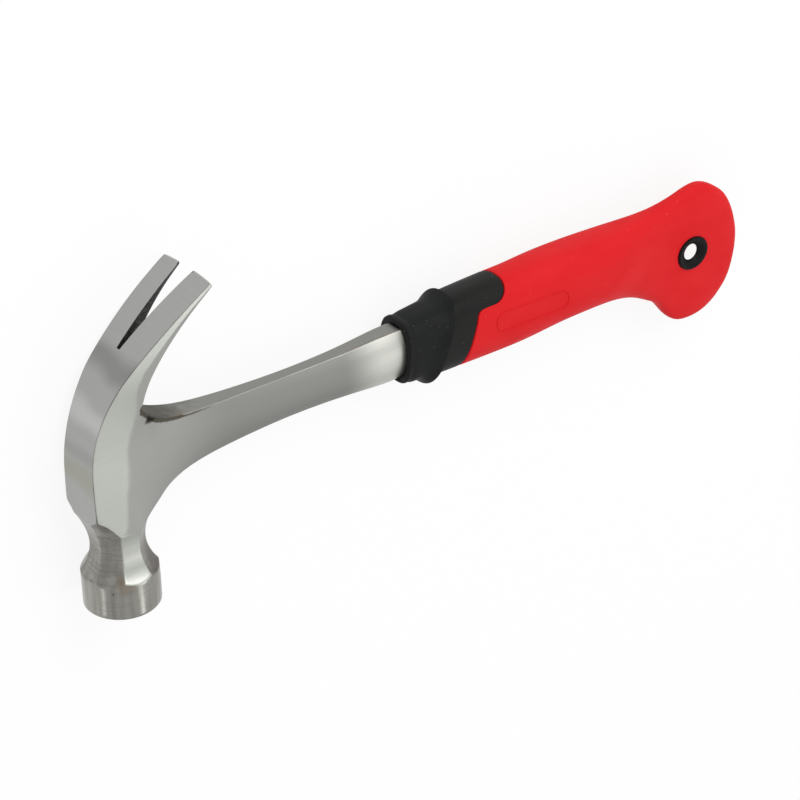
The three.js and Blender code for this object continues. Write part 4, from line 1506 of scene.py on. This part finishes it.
    def build_skin(self, material: Material) -> Body:
        """Models the red skin with its hooked butt and the hang hole through it."""
        seam_x, seam_angle = self.seam_line()
        even = self.around()
        edge, join, lead = seam_x + self.seam / 2, self.skin_join, 1.2
        piece = Workpiece("grip_skin_rubber").start_ring(self.surface(edge + 0.2, seam_angle, 2.8))
        piece.close_ring()
        piece.operate(Pick.EDGES, piece.take_all)
        for shrink, step in ((0.5, 0.0), (0.14, 0.12), (0.0, 0.5), (0.0, lead)):
            piece.extrude_ring(self.surface(edge + step, seam_angle, shrink))
        first = edge + lead
        for share in (0.12, 0.28, 0.46, 0.64, 0.82, 1.0):
            angle = seam_angle + (even - seam_angle) * eased(share)
            piece.extrude_ring(self.surface(first + (join - first) * share, angle))
        sections = [join]
        for end, count in self.skin_runs:
            sections.extend(np.linspace(sections[-1], end, count + 1)[1:])
        for x in (*sections[1:], *self.last_sections, self.reach):
            piece.extrude_ring(self.surface(np.full(self.sides, x), even))
        for shrink in (0.5, 1.0):
            piece.extrude_ring(self.surface(np.full(self.sides, self.reach), even, shrink))
        piece.close_ring()
        piece.settle()
        piece.subdivide(1)
        # A straight bore from the front, and the dish in the back that opens it
        for (low, high), low_radius in (
            (self.bore_span, self.bush_radius), (self.dish_span, self.dish_radius),
        ):
            cutter = Workpiece("hole_cutter")
            bpy.ops.mesh.primitive_cone_add(
                vertices=self.hole_sides, radius1=low_radius * METRES_PER_MM,
                radius2=self.bush_radius * METRES_PER_MM, depth=(high - low) * METRES_PER_MM,
                scale=(1 + self.bush_oval, 1, 1),
                location=tuple(placed(np.array([*self.hole, (low + high) / 2]))),
            )
            cutter.adopt()
            piece.modify("BOOLEAN", operation="DIFFERENCE", object=cutter.body, solver="EXACT")
            bpy.data.objects.remove(cutter.body)
        return piece.finish([material], self.hole_angle, "grip_rubber", "grip_skin")

    def build_outline(self, material: Material) -> Body:
        """Models the thin raised outline, left empty, on the side of the grip."""
        piece = Workpiece("grip_outline")
        bpy.ops.mesh.primitive_plane_add(size=1)
        piece.adopt()
        left, right, low, high = self.frame_box
        piece.move_all(np.array([(left, low, 0), (right, low, 0), (left, high, 0), (right, high, 0)]))
        corner = self.frame_corner * METRES_PER_MM
        piece.operate(
            Pick.VERTICES,
            piece.take_all,
            lambda: bpy.ops.mesh.bevel(offset=corner, affect="VERTICES", segments=8),
            lambda: bpy.ops.mesh.delete(type="ONLY_FACE"),
            piece.take_all,
            lambda: bpy.ops.mesh.subdivide(number_cuts=5),
        )
        flat = piece.millimetres()
        x = flat[:, 0] - self.leaning(flat[:, 0]) * (flat[:, 1] - self.axis)
        top, bottom, power = self.top(x), self.bottom(x), self.squareness(x)
        share = np.abs((2 * flat[:, 1] - top - bottom) / (top - bottom))
        flat[:, 2] = self.half(x) * (1 - share ** power) ** (1 / power)
        piece.move_all(flat)
        bpy.ops.object.convert(target="CURVE")
        piece.body.data.bevel_depth = self.frame_bead * METRES_PER_MM
        piece.body.data.bevel_resolution = 2
        bpy.ops.object.convert(target="MESH")
        piece.settle()
        return piece.finish([material], self.smooth_angle, "grip_rubber")

    def build_bush(self, material: Material) -> Body:
        """Models the ring that lines the hang hole, spun from its profile and drawn out to an oval."""
        radius, half, throat = self.bush_radius - self.bush_gap, self.butt_half, self.bush_throat
        profile = (
            (radius, half - 0.6), (radius, half + 0.4), (radius - 0.2, half + 0.75),
            (radius - 0.65, half + 0.9), (radius - 1.5, half + 0.5), (throat + 0.8, half - 0.4),
            (throat + 0.2, half - 0.85), (throat, half - 1.2), (throat + 0.05, half - 1.5),
            (throat + 1.0, half - 2.3),
            (throat + 2.2, half - 3.3), (radius - 0.3, 0.8), (radius - 0.05, 0.75), (radius, 1.0),
        )
        middle_x, middle_y = self.hole
        piece = Workpiece("hole_bush").start_ring(np.array([(middle_x + r, middle_y, h) for r, h in profile]))
        centre = tuple(placed(np.array([middle_x, middle_y, 0.0])))
        piece.operate(
            Pick.VERTICES,
            piece.take_all,
            lambda: bpy.ops.mesh.spin(steps=self.sides, angle=2 * math.pi, center=centre, axis=(0, 0, 1)),
        )
        piece.settle()
        places = piece.millimetres()
        away = np.hypot(places[:, 0] - middle_x, places[:, 1] - middle_y)
        widen = self.bush_oval * np.clip((away - throat) / (radius - throat), 0, 1)
        places[:, 0] += (places[:, 0] - middle_x) * widen
        piece.move_all(places)
        return piece.finish([material], self.hole_angle, "bush_plastic", "hang_hole_bush")


@dataclass
class Studio:
    """Floor, lights and camera."""

    # The camera: where it stands in the hammer's own frame, and how it is turned, in degrees
    camera_mm: Point = (-353.22, 514.15, 641.38)
    azimuth: float = 36.606
    elevation: float = 30.846
    roll: float = 0.509
    lens_mm: float = 112.5
    sensor_mm: float = 36.0
    sight: float = 50.0
    floor_size: float = 8.0
    floor_drop: float = 0.0002
    floor_glow: float = 0.88
    paper: tuple[float, float, float, float] = (0.9, 0.9, 0.9, 1.0)
    white: tuple[float, float, float, float] = (1.0, 1.0, 1.0, 1.0)
    # How bright the room is: a little less low down, and less to the left
    height_span: Span = (0.0, 0.8, 0.92, 1.0)
    side_span: Span = (-0.7, 0.6, 0.74, 0.84)
    # The soft boxes: name, where it hangs and what it faces in metres, its side in metres and its watts
    lamps: tuple[tuple[str, Point, Point, float, float], ...] = (
        ("key", (0.1, 0.95, 0.85), (0, 0, 0), 0.8, 6.5),
        ("head_box", (0.525, -0.31, 1.13), (-0.1, 0, 0), 0.5, 1.4),
        ("poll_box", (0.47, -0.95, 1.09), (-0.14, -0.05, 0), 0.22, 0.42),
        ("low_box", (-1.12, -0.75, 0.09), (-0.14, -0.05, 0.01), 0.16, 0.16),
    )

    def camera(self) -> None:
        """Places the camera at the photograph's viewing angle."""
        a, e, turn = (math.radians(v) for v in (self.azimuth, self.elevation, self.roll))
        right = Vector((math.cos(a), 0, math.sin(a)))
        up = Vector((math.sin(a) * math.sin(e), math.cos(e), -math.cos(a) * math.sin(e)))
        ahead = Vector((math.sin(a) * math.cos(e), -math.sin(e), -math.cos(a) * math.cos(e)))
        cos, sin = math.cos(turn), math.sin(turn)
        right, up = cos * right - sin * up, sin * right + cos * up
        data = bpy.data.cameras.new("camera")
        data.lens = self.lens_mm
        data.sensor_width = self.sensor_mm
        data.clip_end = self.sight
        camera = bpy.data.objects.new("camera", data)
        bpy.context.scene.collection.objects.link(camera)
        turned = Matrix((right, up, -ahead)).transposed().to_4x4()
        camera.matrix_world = Matrix.Translation(placed(np.array(self.camera_mm))) @ turned
        bpy.context.scene.camera = camera

    def floor(self) -> None:
        """Lays the white floor, which keeps the hammer's shadow."""
        bpy.ops.object.select_all(action="DESELECT")
        bpy.ops.mesh.primitive_plane_add(size=self.floor_size, location=(0, 0, -self.floor_drop))
        floor = bpy.context.object
        floor.name = "floor"
        material = bpy.data.materials.new("white_paper")
        material.use_nodes = True
        tree = material.node_tree
        tree.nodes.clear()
        path = add_node(tree, RAYS)
        seen: Any = path.outputs["Is Camera Ray"]
        for ray in ("Is Glossy Ray", "Is Transmission Ray"):
            seen = add_node(tree, MATHS, (seen, path.outputs[ray]), operation="MAXIMUM")
        share = add_node(tree, MATHS, (seen, self.floor_glow), **TIMES)
        paper = add_node(tree, "ShaderNodeBsdfDiffuse", {"Color": self.paper})
        glow = add_node(tree, "ShaderNodeEmission", {"Color": self.white, "Strength": 1.0})
        mix = add_node(tree, "ShaderNodeMixShader", (share, paper, glow))
        add_node(tree, OUTPUT, {"Surface": mix})
        floor.data.materials.append(material)

    def world(self) -> None:
        """Lights the room evenly, white where the camera sees it."""
        world = bpy.data.worlds.new("studio")
        bpy.context.scene.world = world
        world.use_nodes = True
        tree = world.node_tree
        tree.nodes.clear()
        axes = add_node(tree, AXES, (add_node(tree, PLACE).outputs["Generated"],))
        height, side = (
            add_node(tree, RANGE, (axes.outputs[axis], *span), **EASED)
            for axis, span in (("Z", self.height_span), ("X", self.side_span))
        )
        room = add_node(tree, MATHS, (height, side), **TIMES)
        path = add_node(tree, RAYS)
        strength = add_node(tree, MIX, {0: path.outputs["Is Camera Ray"], 2: room, 3: 1.0}, data_type="FLOAT")
        light = add_node(tree, "ShaderNodeBackground", {"Color": self.white, "Strength": strength})
        add_node(tree, "ShaderNodeOutputWorld", {"Surface": light})

    def hang_lamps(self) -> None:
        """Hangs the square soft lights."""
        for name, place, target, size, power in self.lamps:
            data = bpy.data.lights.new(name, "AREA")
            data.size = size
            data.energy = power
            lamp = bpy.data.objects.new(name, data)
            bpy.context.scene.collection.objects.link(lamp)
            lamp.location = place
            lamp.rotation_euler = (Vector(target) - Vector(place)).to_track_quat("-Z", "Y").to_euler()

    def build(self) -> None:
        """Sets up the whole studio."""
        self.camera()
        self.floor()
        self.world()
        self.hang_lamps()
        bpy.context.scene.view_settings.view_transform = "Standard"


class Hammer:
    """The whole hammer: a forging and its grip."""

    def build(self) -> None:
        """Builds every piece and dresses it."""
        finishes: dict[SteelFace, Finish] = {
            SteelFace.BRUSHED: BrushedSteel("brushed_forged_steel"),
            SteelFace.STRIP: StripSteel("belt_ground_steel"),
            # The neck's painted shade at the rear begins further forward
            SteelFace.NECK: TurnedSteel("coarse_ground_steel", light="9c9b96", dark="807d76", lines_share=0.7,
                                        roughness=0.34, rear_shade_mm=(2.5, 8.5)),
            SteelFace.POLL: TurnedSteel("turned_steel"),
            SteelFace.SLOT: ForgeScale("forge_scale"),
            SteelFace.SPINE: ForgedSpine("forged_skin"),
        }
        forging, grip = Forging(), Grip()
        forging.build([finishes[face].make() for face in SteelFace])
        grip.build_boot(MouldedRubber("moulded_black_rubber", colour="141515", cloud="1a1b1b", dust="6a6a68",
                                      roughness=0.58).make(), forging)
        grip.build_band(MouldedRubber("moulded_black_plastic", colour="161615", cloud="1b1b1a", dust="7a7a78",
                                      roughness=0.52).make())
        red = MouldedRubber("moulded_red_rubber", colour="d4181e", cloud="d0161c", dust="e27f80",
                            specular=0.15, dust_level=0.77).make()
        grip.build_skin(red)
        grip.build_outline(red)
        grip.build_bush(MouldedRubber("satin_black_plastic", colour="070707", cloud="0b0b0b", dust="505050",
                                      roughness=0.45).make())


def main() -> None:
    """Builds the hammer and the studio."""
    logging.basicConfig(level=logging.INFO)
    Hammer().build()
    Studio().build()


if __name__ == "__main__":
    main()
